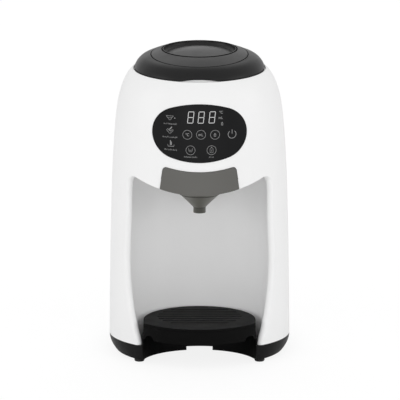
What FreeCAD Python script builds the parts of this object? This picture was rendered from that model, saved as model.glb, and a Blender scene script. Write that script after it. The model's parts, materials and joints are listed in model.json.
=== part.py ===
import FreeCAD, Part
import math
import os
import Sketcher
from FreeCAD import Vector

# Baby formula maker, in millimetres, +Z up, its front facing -Y.
# Heights are measured from the surface that the machine stands on. While it is being built, the
# vertical axis of the round hopper and lid is at X = 0, Y = 0; every piece's Placement then moves it
# by SHIFT along Y, so that the finished machine's footprint is centred on the origin.

os.makedirs("parts", exist_ok=True)
doc = FreeCAD.newDocument("formula_maker")

# ---------------------------------------------------------------------------------------------
# Driving sizes
# ---------------------------------------------------------------------------------------------

SIZES = {
    # outer form of the body
    "half_width": 90.0,        # widest half-width, at the foot
    "front_depth": 80.0,       # hopper axis to the front face, at the foot
    "rear_depth": 165.0,       # hopper axis to the back of the tank, at the foot
    "rim_radius": 66.8,        # round rim at the top, under the lid
    "head_height": 112.8,      # from the chin's lowest point up to the rim
    "shell_bottom": 18.0,      # where the shell stands on the base
    "shell_wall": 3.0,
    "crown_drop_1": 179.0,     # heights below the rim at which the body's taper is set
    "crown_drop_2": 105.0,
    "crown_drop_3": 56.0,
    "crown_drop_4": 31.0,
    "crown_drop_5": 14.0,
    "back_wall": 88.0,         # flat wall behind which the tank stands
    # bottle bay
    "bay_centre": 36.0,        # axis of the bay's round back, in front of the hopper axis
    "bay_foot_radius": 57.3,
    "bay_belly_radius": 68.6,
    "bay_belly_height": 105.0,
    "bay_head_radius": 66.2,
    "bay_head_rise": 28.8,     # the bay's wall goes on this far above the chin
    "bay_lip_radius": 4.0,     # soft front edges of the two wings
    "bay_depth_share": 0.83,   # depth of its rounded back, as a share of its half-width
    "bay_roof_round": 9.0,
    "bay_roof_drop": 3.8,
    "bay_roof_height": 10.5,
    "chin_height": 176.2,      # lowest point of the arched lower edge of the head
    "chin_radius": 160.0,
    # base
    "foot_height": 3.0,
    "foot_radius": 5.0,
    "foot_recess": 1.0,
    "front_foot_x": 60.0,
    "front_foot_y": 50.0,
    "rear_foot_x": 50.0,
    "rear_foot_y": 116.0,
    "base_taper": 6.3,
    "base_flare": 3.0,
    "base_wall": 3.0,
    "base_deck": 3.0,
    "deck_inset": 1.2,         # the raised deck stays this far inside the bay
    "arch_radius": 58.5,       # hollow between the base's two arms
    "arch_centre": 75.3,
    "arch_notch_width": 26.0,
    "arch_notch_height": 3.8,
    "rail_radius": 4.0,
    "rail_x": 50.0,
    "rail_front": 66.0,
    "rail_back": 22.0,
    "boss_radius": 6.0,
    "screw_radius": 1.5,
    "screw_head_radius": 2.9,
    "screw_head": 2.0,
    "screw_length": 20.0,
    "side_screw_x": 75.0,
    "side_screw_y": 10.0,
    "back_screw_x": 64.0,
    "back_screw_y": 74.0,
    # drip tray
    "tray_bottom": 25.0,
    "tray_top": 41.0,
    "tray_radius": 56.0,
    "tray_centre": 44.0,
    "tray_straight": 58.6,     # where the straight sides meet the front curve
    "tray_front": 86.8,
    "tray_wall": 2.0,
    "under_front": 18.0,       # the hollow under the tray stays this far inside its front
    "under_back": 14.0,        # and its back
    "grille_thickness": 2.4,
    "grille_gap": 0.3,
    "grille_lip": 2.5,
    "slot_width": 2.2,
    "slot_length": 84.0,
    "slot_pitch": 9.0,
    "slot_middle": 31.0,
    # general clearances
    "running_fit": 0.05,
    "slide_gap": 0.4,
    "seat_gap": 0.3,
    "snug_gap": 0.15,
    # touch panel
    "panel_rise": 62.7,        # the panel's middle above the chin
    "panel_half_width": 47.0,
    "panel_half_height": 29.4,
    "panel_side_radius": 26.0,
    "panel_proud": 0.4,
    "panel_thickness": 2.0,
    "window_border": 6.0,
    "display_half_width": 31.0,
    "display_half_height": 16.0,
    "board_set_back": 16.2,
    "display_depth": 3.0,
    "board_thickness": 1.6,
    "board_half_width": 32.0,
    "board_half_height": 16.0,
    # mixing funnel and its drawer
    "plate_height": 28.3,      # the cover plate's top above the chin
    "plate_top_dip": 4.8,
    "plate_top_half": 36.0,
    "plate_bottom_half": 39.5,
    "plate_proud": 0.8,
    "plate_thickness": 3.0,
    "plate_corner": 4.0,
    "funnel_centre": 28.0,
    "funnel_radius": 33.0,
    "funnel_wall": 1.8,
    "funnel_rim": 2.4,
    "funnel_rim_height": 2.4,
    "neck_drop": 23.2,         # the cone meets the neck this far below the chin
    "neck_radius": 6.2,
    "spout_length": 5.5,
    "spout_bore": 4.0,
    "holder_half": 35.2,
    "holder_back": 12.0,
    "holder_floor": 3.0,
    "holder_wall": 2.4,
    "holder_height": 17.3,     # the holder's top above the chin
    "lip_reach": 2.0,
    "lip_height": 2.0,
    "rail_wall": 2.0,
    "runner_front": 60.0,
    # deck over the drawer
    "deck_rise": 25.8,         # the deck's underside above the chin
    "deck_thickness": 3.0,
    # dosing drive
    "gear_module": 2.0,
    "gear_thickness": 6.0,
    "gear_journal": 4.0,
    "drive_teeth": 24.0,
    "pinion_teeth": 20.0,
    "dog_length": 14.0,
    "dog_width": 3.6,
    "dog_height": 5.4,
    "motor_radius": 17.0,
    "motor_length": 48.0,
    "motor_shaft": 3.0,
    "shaft_length": 9.0,
    # powder hopper
    "hopper_radius": 60.0,
    "hopper_wall": 2.4,
    "hopper_stand": 8.0,       # room for the gears under the hopper
    "hopper_ledge": 1.5,
    "ledge_reach": 3.6,
    "flange_radius": 65.4,
    "flange_thickness": 2.5,
    "flange_drop": 1.0,        # the flange lies this far below the rim
    "floor_thickness": 3.0,
    "outlet_distance": 38.0,
    "outlet_radius": 8.5,
    "chute_wall": 1.8,
    "chute_drop": 1.5,         # the chute ends this far below the deck's underside
    "wheel_thickness": 12.0,
    "pocket_radius": 8.0,
    "pocket_count": 8.0,
    "hub_radius": 9.0,
    "hub_drop": 0.8,
    "stirrer_radius": 3.0,
    "stirrer_length": 96.0,
    "stirrer_rise": 27.0,      # the stirrer's arm above the hopper's foot
    "finger_radius": 2.5,
    "finger_x": 30.0,
    "finger_length": 7.0,
    "scraper_thickness": 2.0,
    "scraper_half_width": 15.0,
    # lid
    "lid_radius": 64.8,
    "lid_wall": 2.4,
    "lid_edge_height": 2.4,
    "lid_shoulder_radius": 53.5,
    "lid_shoulder_rise": 14.1,
    "lid_side_round": 18.4,
    "lid_top_round": 120.0,
    "ring_radius": 48.5,
    "ring_forward": 6.0,
    "ring_groove": 0.9,
    "ring_ledge": 4.0,
    "dish_radius": 36.2,
    "dish_rise": 20.4,         # the dish's rim above the lid's lower edge
    "dish_depth": 5.0,
    "notch_half_width": 22.0,
    "notch_height": 3.0,
    "hinge_y": 60.6,
    "hinge_rise": 3.0,         # the lid's hinge axis above the hopper's flange
    "knuckle_radius": 2.6,
    "hinge_pin_radius": 1.1,
    "knuckle_half_width": 7.6,
    "ear_width": 6.0,
    # water tank
    "shelf_height": 45.0,
    "tank_gap": 3.0,
    "tank_wall": 2.5,
    "tank_floor": 3.5,
    "tank_drop": 64.0,         # the tank's top below the rim
    "tank_lid_thickness": 4.0,
    "tank_skirt": 6.0,
    "tank_hinge_radius": 3.0,
    "tank_hinge_half": 9.0,
    "valve_y": 124.0,
    "valve_neck_radius": 8.5,
    "valve_neck_drop": 7.0,
    "valve_flange_radius": 14.0,
    "valve_flange": 2.5,
    "valve_tower": 13.0,
    "valve_travel": 2.8,
    "valve_sill": 3.0,
    "orifice_radius": 4.0,
    "pin_reach": 2.0,
    "poppet_radius": 6.0,
    "stem_radius": 2.5,
    "seat_cup_radius": 11.0,
    "seat_cup_wall": 2.0,
    "float_radius": 8.0,
    "float_height": 12.0,
    "float_rod_radius": 2.0,
    "float_x": 44.0,
    "float_y": 105.0,
    "float_rod_length": 150.0,
    # mains inlet and inner units
    "nozzle_radius": 3.5,
    "hose_radius": 2.5,
    "hose_bore": 1.6,
    "nipple_length": 6.0,
    "unit_y": 50.0,
    "heater_x": 34.0,
    "heater_radius": 18.0,
    "heater_length": 90.0,
    "cutoff_radius": 6.0,
    "cutoff_height": 3.5,
    "pump_radius": 15.0,
    "pump_height": 30.0,
    "inlet_half_width": 14.0,
    "inlet_bottom": 21.6,
    "inlet_top": 41.2,
    "inlet_depth": 22.0,
    "inlet_wall": 2.2,
    "inlet_recess": 15.0,
    "blade_length": 10.0,
    "blade_spread": 7.0,
    "inlet_proud": 0.6,
}

# Heights that follow from the sizes: everything in the head stands on the chin
HEIGHTS = {
    "rim_height": "chin_height + head_height",
    "bay_head_height": "chin_height + bay_head_rise",
    "panel_height": "chin_height + panel_rise",
    "plate_top": "chin_height + plate_height",
    "neck_height": "chin_height - neck_drop",
    "spout_tip": "neck_height - spout_length",
    "holder_top": "chin_height + holder_height",
    "deck_height": "chin_height + deck_rise",
    "deck_upper": "deck_height + deck_thickness",
    "chute_bottom": "deck_height - chute_drop",
    "hopper_bottom": "deck_upper + hopper_stand",
    "stirrer_height": "hopper_bottom + stirrer_rise",
    "flange_top": "rim_height - flange_drop",
    "hinge_height": "flange_top + hinge_rise",
    "lid_edge": "flange_top + seat_gap",
    "lid_shoulder_height": "lid_edge + lid_shoulder_rise",
    "dish_height": "lid_edge + dish_rise",
    "tank_top": "rim_height - tank_drop",
}

sheet = doc.addObject("Spreadsheet::Sheet", "sizes")
contents = {alias: str(number) for alias, number in SIZES.items()}
contents.update({alias: "=" + formula for alias, formula in HEIGHTS.items()})
for row, (alias, content) in enumerate(contents.items(), start=1):
    sheet.set("A%d" % row, alias)
    sheet.set("B%d" % row, content)
    sheet.setAlias("B%d" % row, alias)
doc.recompute()


class Size:
    """A length with its value and the expression, in the sheet's cells, that gives it."""

    def __init__(self, value, text):
        self.value = value
        self.text = text

    def __add__(self, other):
        other = as_size(other)
        return Size(self.value + other.value, "(%s + %s)" % (self.text, other.text))

    def __sub__(self, other):
        other = as_size(other)
        return Size(self.value - other.value, "(%s - %s)" % (self.text, other.text))

    def __mul__(self, other):
        other = as_size(other)
        return Size(self.value * other.value, "(%s * %s)" % (self.text, other.text))

    def __truediv__(self, other):
        other = as_size(other)
        return Size(self.value / other.value, "(%s / %s)" % (self.text, other.text))

    def __neg__(self):
        return Size(-self.value, "(0 - %s)" % self.text)


def as_size(number):
    """A Size as it is, or a plain number as a Size."""
    if isinstance(number, Size):
        return number
    return Size(float(number), repr(float(number)))


class Cells:
    """The sheet's cells by alias, as sizes: cells.rim_height keeps its expression."""

    def __getattr__(self, alias):
        return Size(float(sheet.get(alias)), "<<sizes>>." + alias)


class Millimetres:
    """The sheet's cells by alias, as plain numbers, for shapes built with Part's functions."""

    def __getattr__(self, alias):
        return float(sheet.get(alias))


cells = Cells()
mm = Millimetres()
SHIFT = (cells.tray_front - cells.rear_depth) / 2.0


# ---------------------------------------------------------------------------------------------
# Small helpers
# ---------------------------------------------------------------------------------------------

def bind(thing, prop, size):
    """Tie one property of an object to the sheet."""
    thing.setExpression(prop, as_size(size).text)


def place(thing, at=(0, 0, 0)):
    """Set a piece's Placement: its own place, moved back with the whole machine."""
    across, along, up = (as_size(c) for c in at)
    bind(thing, "Placement.Base.x", across)
    bind(thing, "Placement.Base.y", SHIFT + along)
    bind(thing, "Placement.Base.z", up)


pieces = []


def keep(thing, name):
    """Give a finished piece its name and put it on the list of files to write."""
    thing.Label = name
    pieces.append(thing)
    return thing


def solid_piece(name, shape):
    """A piece whose shape is built with Part's own functions."""
    thing = doc.addObject("Part::Feature", name)
    thing.Shape = shape
    place(thing)
    return keep(thing, name)


def new_body(name, at=(0, 0, 0)):
    """An empty PartDesign body that stands at its own place."""
    body = doc.addObject("PartDesign::Body", name)
    place(body, at)
    return keep(body, name)


def sketch_on(body, role, offset=None):
    """A sketch on one of the body's own origin planes, `offset` along the plane's normal."""
    sketch = body.newObject("Sketcher::SketchObject", body.Name + "_sketch")
    plane = next(f for f in body.Origin.OriginFeatures if f.Role == role)
    sketch.AttachmentSupport = [(plane, "")]
    sketch.MapMode = "FlatFace"
    if offset is not None:
        bind(sketch, "AttachmentOffset.Base.z", offset)
    return sketch


def pin_vertex(sketch, edge, end, point):
    """Hold one end of an edge at a point given by two sizes."""
    for kind, size in zip(("DistanceX", "DistanceY"), point):
        size = as_size(size)
        index = sketch.addConstraint(Sketcher.Constraint(kind, -1, 1, edge, end, size.value))
        bind(sketch, "Constraints[%d]" % index, size)


def arc_between(first, last, radius):
    """An arc from `first` to `last`; a positive radius bulges to the right of the way there."""
    run, rise = last[0] - first[0], last[1] - first[1]
    chord = math.hypot(run, rise)
    reach = math.copysign(math.sqrt(radius ** 2 - chord ** 2 / 4.0), radius)
    centre = Vector((first[0] + last[0]) / 2.0 - rise / chord * reach,
                    (first[1] + last[1]) / 2.0 + run / chord * reach, 0)
    start, stop = (first, last) if radius > 0 else (last, first)
    angles = [math.atan2(p[1] - centre.y, p[0] - centre.x) for p in (start, stop)]
    return Part.ArcOfCircle(Part.Circle(centre, Vector(0, 0, 1), abs(radius)), *angles)


def outline(sketch, corners):
    """A closed outline. A corner is (x, y), or (x, y, radius) where an arc of that radius arrives."""
    values = [[as_size(c).value for c in corner] for corner in corners]
    first_edge = sketch.GeometryCount
    ends = []
    for index, corner in enumerate(values):
        before = values[index - 1]
        if len(corner) == 3:
            sketch.addGeometry(arc_between(before, corner, corner[2]), False)
            ends.append((1, 2) if corner[2] > 0 else (2, 1))
        else:
            line = Part.LineSegment(Vector(before[0], before[1], 0), Vector(corner[0], corner[1], 0))
            sketch.addGeometry(line, False)
            ends.append((1, 2))
    for index, corner in enumerate(corners):
        edge = first_edge + index
        following = first_edge + (index + 1) % len(corners)
        begin = ends[(index + 1) % len(corners)][0]
        sketch.addConstraint(Sketcher.Constraint("Coincident", edge, ends[index][1], following, begin))
        pin_vertex(sketch, edge, ends[index][1], corner[:2])
        if len(corner) == 3:
            size = as_size(corner[2])
            radius = size if size.value > 0 else -size
            at = sketch.addConstraint(Sketcher.Constraint("Radius", edge, radius.value))
            bind(sketch, "Constraints[%d]" % at, radius)


def rectangle(sketch, left, right, low, high):
    outline(sketch, [(left, low), (right, low), (right, high), (left, high)])


def circle(sketch, radius, at=(0, 0)):
    """A full circle with its centre and radius tied to the sheet."""
    radius = as_size(radius)
    centre = Vector(as_size(at[0]).value, as_size(at[1]).value, 0)
    edge = sketch.addGeometry(Part.Circle(centre, Vector(0, 0, 1), radius.value), False)
    pin_vertex(sketch, edge, 3, at)
    index = sketch.addConstraint(Sketcher.Constraint("Radius", edge, radius.value))
    bind(sketch, "Constraints[%d]" % index, radius)


def pad(body, sketch, length, side="One side", reverse=False):
    feature = body.newObject("PartDesign::Pad", body.Name + "_pad")
    feature.Profile = (sketch, [""])
    feature.SideType = side
    feature.Reversed = reverse
    bind(feature, "Length", length)
    return feature


def pocket(body, sketch, length, side="One side", reverse=False):
    feature = body.newObject("PartDesign::Pocket", body.Name + "_pocket")
    feature.Profile = (sketch, [""])
    feature.SideType = side
    feature.Reversed = reverse
    bind(feature, "Length", length)
    return feature


def revolve(body, sketch):
    feature = body.newObject("PartDesign::Revolution", body.Name + "_revolution")
    feature.Profile = (sketch, [""])
    feature.ReferenceAxis = (sketch, ["V_Axis"])
    feature.Angle = 360.0
    return feature


def repeat_round(body, feature, count):
    """Copies of a feature spaced evenly about the body's own vertical axis."""
    pattern = body.newObject("PartDesign::PolarPattern", body.Name + "_pattern")
    pattern.Originals = [feature]
    axis = next(f for f in body.Origin.OriginFeatures if f.Role == "Z_Axis")
    pattern.Axis = (axis, [""])
    pattern.Angle = 360.0
    bind(pattern, "Occurrences", count)
    body.Tip = pattern
    return pattern


def mirror_across(body, feature):
    """A feature's mirror image on the other side of the body's X = 0 plane."""
    mirrored = body.newObject("PartDesign::Mirrored", body.Name + "_mirror")
    mirrored.Originals = [feature]
    plane = next(f for f in body.Origin.OriginFeatures if f.Role == "YZ_Plane")
    mirrored.MirrorPlane = (plane, [""])
    body.Tip = mirrored
    return mirrored


def turned(name, corners, at=(0, 0, 0)):
    """A body turned about its own vertical axis from an outline of (radius, height) corners."""
    body = new_body(name, at)
    profile = sketch_on(body, "XZ_Plane")
    outline(profile, corners)
    revolve(body, profile)
    return body


def block(left, right, front, back, low, high):
    """A plain box between six planes."""
    return Part.makeBox(right - left, back - front, high - low, Vector(left, front, low))


def post(radius, low, high, across=0.0, along=0.0):
    """A plain upright cylinder."""
    return Part.makeCylinder(radius, high - low, Vector(across, along, low))


def fuse(shapes):
    """Several shapes as one, with the seams between flush faces taken out."""
    return shapes[0].multiFuse(shapes[1:]).removeSplitter()


def one_solid(shape):
    """The single solid that a shape holds."""
    if len(shape.Solids) != 1:
        raise ValueError("expected one solid, found %d" % len(shape.Solids))
    return shape.Solids[0]


# ---------------------------------------------------------------------------------------------
# Outer form: every level is half of one ellipse in front and half of a deeper one behind
# ---------------------------------------------------------------------------------------------

FALL = (0.0, 0.043, 0.125, 0.25, 0.388, 0.61, 1.0)   # share of the way from foot to rim, by level
LEVELS = (
    mm.shell_bottom,
    mm.rim_height - mm.crown_drop_1,
    mm.rim_height - mm.crown_drop_2,
    mm.rim_height - mm.crown_drop_3,
    mm.rim_height - mm.crown_drop_4,
    mm.rim_height - mm.crown_drop_5,
    mm.rim_height,
)
UP = Vector(0, 0, 1)
BEHIND = 400.0      # a cutting box reaches this far past the machine


def half_ellipse(width, depth, height, side):
    """Half of an ellipse at one height: side is -1 for the front half and 1 for the rear half."""
    centre = Vector(0, 0, height)
    if abs(width - depth) < 1e-6:
        return Part.Arc(Vector(width, 0, height), Vector(0, side * depth, height),
                        Vector(-width, 0, height)).toShape()
    across, along = Vector(width, 0, height), Vector(0, side * depth, height)
    if width > depth:
        return Part.ArcOfEllipse(Part.Ellipse(across, along, centre), 0, math.pi).toShape()
    curve = Part.Ellipse(along, Vector(-width, 0, height), centre)
    return Part.ArcOfEllipse(curve, -math.pi / 2, math.pi / 2).toShape()


def level(width, front, rear, height):
    """The closed outline of the form at one height."""
    halves = [half_ellipse(width, front, height, -1), half_ellipse(width, rear, height, 1)]
    return Part.Wire(Part.__sortEdges__(halves))


def outer_form(grow=0.0):
    """The whole outer form, grown outwards by `grow` (or shrunk where it is negative)."""
    outlines = []
    for share, height in zip(FALL, LEVELS):
        reach = [full - (full - mm.rim_radius) * share + grow
                 for full in (mm.half_width, mm.front_depth, mm.rear_depth)]
        outlines.append(level(*reach, height))
    return Part.makeLoft(outlines, True, False)


def skin(outside, thickness):
    """The layer of the form between `outside` and `thickness` further in."""
    return outer_form(outside).cut(outer_form(outside - thickness))


# ---------------------------------------------------------------------------------------------
# Bottle bay: a scoop with a round back and straight sides, drawn in to a round shoulder under
# the arched chin, whose front edges roll outwards into the body's own surface
# ---------------------------------------------------------------------------------------------

BELLY_ROUND = 332.0     # radius of the bay's side, seen from the front, below its belly
ROLL_TURN = math.radians(123.0)   # how far the front edge rolls before it meets the outside
FLARE = 40.0            # the cutting shape goes on this far past the roll
FRONT = 140.0           # and reaches this far in front
UNDER_FOOT = 8.0        # and this far below the shell's foot
SHOULDER_SHARES = (0.0, 0.35, 0.6, 0.8, 0.92)    # heights of the outlines in the round shoulder
WING_FILL = 8.0         # the wings are solid in front of a plane this far behind the bay's axis


def bay_radius(height):
    """Half-width of the bay at one height: bowed below the belly, rounded in at the shoulder."""
    foot, belly, head = mm.bay_foot_radius, mm.bay_belly_radius, mm.bay_head_radius
    if height <= mm.shell_bottom:
        return foot
    if height < mm.bay_belly_height:
        rise = mm.bay_belly_height - mm.shell_bottom
        share = (height - mm.shell_bottom) / rise
        chord = math.hypot(rise, belly - foot)
        bow = chord ** 2 / (8.0 * BELLY_ROUND)
        return foot + (belly - foot) * share + 4.0 * bow * share * (1.0 - share)
    shoulder = mm.chin_height + mm.bay_roof_drop
    share = min(1.0, (height - mm.bay_belly_height) / (shoulder - mm.bay_belly_height))
    upright = belly + (head - belly) * share
    over = max(0.0, height - shoulder) / mm.bay_roof_height
    return upright - mm.bay_roof_round * (1.0 - math.sqrt(max(0.0, 1.0 - over ** 2)))


def form_reach(form, height):
    """Half-width, front depth and rear depth of the outer form at one height."""
    points = form.slice(UP, height)[0].discretize(Number=720)
    return (max(p.x for p in points), -min(p.y for p in points), max(p.y for p in points))


def ellipse_distance(width, depth, across, along):
    """Distance from a point inside to the front half of an ellipse."""
    steps = [math.radians(0.25 * n) for n in range(361)]
    return min(math.hypot(width * math.sin(a) - across, -depth * math.cos(a) - along) for a in steps)


def roll_centre(width, depth, side, roll):
    """How far forward the rolled edge's centre lies, so that the roll just meets the outside."""
    near = -depth * math.sqrt(1.0 - ((side + roll) / width) ** 2)
    far = 0.0
    for _ in range(40):
        middle = (near + far) / 2.0
        if ellipse_distance(width, depth, side + roll, middle) < roll:
            near = middle
        else:
            far = middle
    return far


def line(start, end, height):
    return Part.LineSegment(Vector(*start, height), Vector(*end, height)).toShape()


def round_back(side, height):
    """The bay's back wall at one height: half of an ellipse, from right to left."""
    depth = side * mm.bay_depth_share
    centre = Vector(0, -mm.bay_centre, height)
    curve = Part.Ellipse(centre + Vector(side, 0, 0), centre + Vector(0, depth, 0), centre)
    return Part.ArcOfEllipse(curve, 0, math.pi).toShape()


def bay_outline(form, height):
    """The bay's outline at one height, with its front edges rolled outwards."""
    side = bay_radius(height)
    roll = mm.bay_lip_radius
    width, depth, _ = form_reach(form, max(height, mm.shell_bottom + 0.5))
    centre = (side + roll, roll_centre(width, depth, side, roll))

    def on_roll(turn):
        angle = math.pi + turn
        return (centre[0] + roll * math.cos(angle), centre[1] + roll * math.sin(angle))

    start, half, end = on_roll(0.0), on_roll(ROLL_TURN / 2.0), on_roll(ROLL_TURN)
    leave = ROLL_TURN - math.pi / 2.0
    far = (end[0] + FLARE * math.cos(leave), end[1] + FLARE * math.sin(leave))
    corner = (far[0], -FRONT)
    back = (side, -mm.bay_centre)

    def flip(point):
        return (-point[0], point[1])

    def roll_arc(points):
        return Part.Arc(*(Vector(*point, height) for point in points)).toShape()

    return Part.Wire([
        line(corner, far, height), line(far, end, height), roll_arc([end, half, start]),
        line(start, back, height), round_back(side, height), line(flip(back), flip(start), height),
        roll_arc([flip(start), flip(half), flip(end)]), line(flip(end), flip(far), height),
        line(flip(far), flip(corner), height), line(flip(corner), corner, height)])


def bay_levels():
    """Heights of the bay's outlines below its shoulder: under the foot, up to and past the belly."""
    low, belly = mm.shell_bottom, mm.bay_belly_height
    shoulder = mm.chin_height + mm.bay_roof_drop
    lower = [low + (belly - low) * quarter / 4.0 for quarter in range(5)]
    upper = [belly + (shoulder - belly) * third / 3.0 for third in (1, 2)]
    return [low - UNDER_FOOT] + lower + upper


def bay_solid(form):
    """Everything that the bay takes out of the body, up to the arched chin."""
    shoulder = mm.chin_height + mm.bay_roof_drop
    heights = bay_levels() + [shoulder + share * mm.bay_roof_height for share in SHOULDER_SHARES]
    tool = Part.makeLoft([bay_outline(form, height) for height in heights], True, False)
    return tool.cut(chin_cylinder())


def plain_bay(grow):
    """The bay without its rolled edges and shoulder, grown by `grow`, up to a raised chin."""
    outlines = []
    for height in bay_levels()[:2] + bay_levels()[3::2] + [mm.bay_head_height]:
        side = grow + bay_radius(min(height, mm.chin_height))
        front, back = (side, -FRONT), (side, -mm.bay_centre)
        left_front, left_back = (-side, -FRONT), (-side, -mm.bay_centre)
        outlines.append(Part.Wire([
            line(front, back, height), round_back(side, height),
            line(left_back, left_front, height), line(left_front, front, height)]))
    return Part.makeLoft(outlines, True, False).cut(chin_cylinder(grow))


def chin_cylinder(raise_by=0.0):
    """Everything above the arched underside of the head, as a large lying cylinder."""
    radius = mm.chin_radius - raise_by
    axis_height = mm.chin_height + mm.chin_radius
    return Part.makeCylinder(radius, 2 * BEHIND, Vector(0, -BEHIND, axis_height), Vector(0, 1, 0))


# ---------------------------------------------------------------------------------------------
# Outlines on the front face: the touch panel and the funnel's cover plate
# ---------------------------------------------------------------------------------------------

PLATE_BELOW = 10.0      # the plate's cutting outline goes on this far below the chin's arch


def front_prism(wire, near=-FRONT, far=0.0):
    """An outline in the XZ plane drawn along Y, through the front of the body."""
    face = Part.Face(wire)
    face.translate(Vector(0, near, 0))
    return face.extrude(Vector(0, far - near, 0))


def arc_wire(points):
    """A closed outline in the XZ plane; a point that is a pair of points arrives by an arc."""
    edges = []
    last = points[-1]
    for point in points:
        start = last[-1] if isinstance(last[0], tuple) else last
        start = Vector(start[0], 0, start[1])
        if isinstance(point[0], tuple):
            through, end = (Vector(p[0], 0, p[1]) for p in point)
            edges.append(Part.Arc(start, through, end).toShape())
        else:
            edges.append(Part.LineSegment(start, Vector(point[0], 0, point[1])).toShape())
        last = point
    return Part.Wire(edges)


def panel_oval(grow):
    """The touch panel's oval: two tight side arcs that run into two wide arcs above and below."""
    half_width = mm.panel_half_width + grow
    half_height = mm.panel_half_height + grow
    side = mm.panel_side_radius + grow
    shift = half_width - side
    wide = (shift ** 2 + half_height ** 2 - side ** 2) / (2.0 * (half_height - side))
    drop = wide - half_height
    meet = wide / (wide - side)
    corner = (shift * meet, drop * meet - drop)
    middle = mm.panel_height

    def at(across, up):
        return (across, middle + up)

    right_up, right_down = at(*corner), at(corner[0], -corner[1])
    left_up, left_down = at(-corner[0], corner[1]), at(-corner[0], -corner[1])
    return arc_wire([
        (at(half_width, 0), right_up), (at(0, half_height), left_up),
        (at(-half_width, 0), left_down), (at(0, -half_height), right_down)])


def plate_prism(grow):
    """The funnel's cover plate from the front: a dipped top, leaning sides and the chin's arch."""
    top = mm.plate_top + grow
    upper = mm.plate_top_half + grow
    lower = mm.plate_bottom_half + grow
    corner_height = mm.chin_height + mm.chin_radius - math.sqrt(mm.chin_radius ** 2 - lower ** 2)
    bottom = mm.chin_height - PLATE_BELOW
    wire = arc_wire([
        (-lower, bottom), (lower, bottom), (lower, corner_height), (upper, top),
        ((0.0, top - mm.plate_top_dip), (-upper, top)), (-lower, corner_height)])
    prism = front_prism(wire, far=-mm.front_depth / 2.0)
    corners = upright_edges(prism, lambda p, e: abs(p.z - top) < 0.01 and abs(p.x) > 0.9 * upper)
    return prism.makeFillet(mm.plate_corner, corners)


def upright_edges(shape, test):
    """Edges whose middle point passes a test."""
    found = []
    for edge in shape.Edges:
        middle = edge.valueAt((edge.FirstParameter + edge.LastParameter) / 2.0)
        if test(middle, edge):
            found.append(edge)
    return found


# ---------------------------------------------------------------------------------------------
# Housing: the front shell with the bay, and the rear shell with the shelf under the tank
# ---------------------------------------------------------------------------------------------

SCREW_PLACES = [(side * mm.side_screw_x, -mm.side_screw_y) for side in (-1, 1)]
SCREW_PLACES += [(side * mm.back_screw_x, mm.back_screw_y) for side in (-1, 1)]
SLOT_HALF = mm.holder_half + mm.slide_gap
DRAWER_BACK = mm.holder_back + mm.slide_gap
SEAT_HEIGHT = mm.flange_top - mm.flange_thickness - mm.seat_gap     # ledge under the hopper's flange
SEAT_BORE = mm.hopper_radius + 2.5
SCREW_BOTTOM = mm.foot_height + 6.0      # seat of the screws' heads inside the base's bosses
BOSS_HEIGHT = 18.0
BOSS_RIB = 1.2           # half-thickness of the rib that ties a boss to the wall
BOSS_END = 3.0           # left solid above the screw's hole


def screw_boss(across, along):
    """A boss on the shell's foot with a screw hole, and a rib that ties it to the side wall."""
    height = mm.shell_bottom + BOSS_HEIGHT
    boss = post(mm.boss_radius - 1.0, mm.shell_bottom, height, across, along)
    outer = math.copysign(mm.half_width, across)
    rib = block(min(across, outer), max(across, outer), along - BOSS_RIB, along + BOSS_RIB,
                mm.shell_bottom, height)
    return boss.fuse(rib)


def housing_shell():
    """Both halves of the housing as one hollow shell, with every opening in it."""
    form = outer_form()
    past_wall = block(-BEHIND, BEHIND, mm.back_wall, BEHIND, mm.shelf_height, BEHIND)
    outside = form.cut(past_wall).cut(bay_solid(form))

    wall = mm.shell_wall
    hollow = outer_form(-wall).common(
        block(-BEHIND, BEHIND, -BEHIND, BEHIND, 0.0, SEAT_HEIGHT - wall))
    hollow = hollow.cut(block(-BEHIND, BEHIND, mm.back_wall - wall, BEHIND,
                              mm.shelf_height - wall, BEHIND))
    hollow = hollow.cut(plain_bay(wall))
    for side in (-1, 1):
        tip = block(min(0, side * BEHIND), max(0, side * BEHIND), -BEHIND,
                    WING_FILL - mm.bay_centre, 0.0, mm.chin_height)
        hollow = hollow.cut(tip)
    shell = outside.cut(hollow)

    bosses = [screw_boss(*where) for where in SCREW_PLACES]
    inside = outer_form(-wall / 2.0)
    shell = shell.multiFuse([boss.common(inside) for boss in bosses])
    for across, along in SCREW_PLACES:
        shell = shell.cut(post(mm.screw_radius + 0.1, 0.0,
                               mm.shell_bottom + BOSS_HEIGHT - BOSS_END, across, along))

    shell = shell.cut(post(SEAT_BORE, SEAT_HEIGHT - 2 * wall, BEHIND))
    shell = shell.cut(post(mm.flange_radius + 0.6, SEAT_HEIGHT, BEHIND))

    recess = mm.panel_proud - mm.panel_thickness - mm.snug_gap
    shell = shell.cut(front_prism(panel_oval(mm.snug_gap)).cut(outer_form(recess)))
    shell = shell.cut(front_prism(panel_oval(-mm.window_border), far=-mm.front_depth * 0.6))
    shell = shell.cut(plate_prism(mm.slide_gap))
    drawer_slot = block(-SLOT_HALF, SLOT_HALF, -BEHIND, DRAWER_BACK,
                        mm.chin_height - 5.0, mm.holder_top + mm.seat_gap)
    shell = shell.cut(drawer_slot.common(chin_cylinder()))

    inlet = block(-mm.inlet_half_width - mm.snug_gap, mm.inlet_half_width + mm.snug_gap,
                  mm.rear_depth - mm.inlet_depth, BEHIND,
                  mm.inlet_bottom - mm.snug_gap, mm.inlet_top + mm.snug_gap)
    shell = shell.cut(inlet)
    shell = shell.cut(post(mm.seat_cup_radius + mm.snug_gap, mm.shelf_height - 2 * wall,
                           mm.shelf_height + 1.0, 0.0, mm.valve_y))
    return shell


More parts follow.
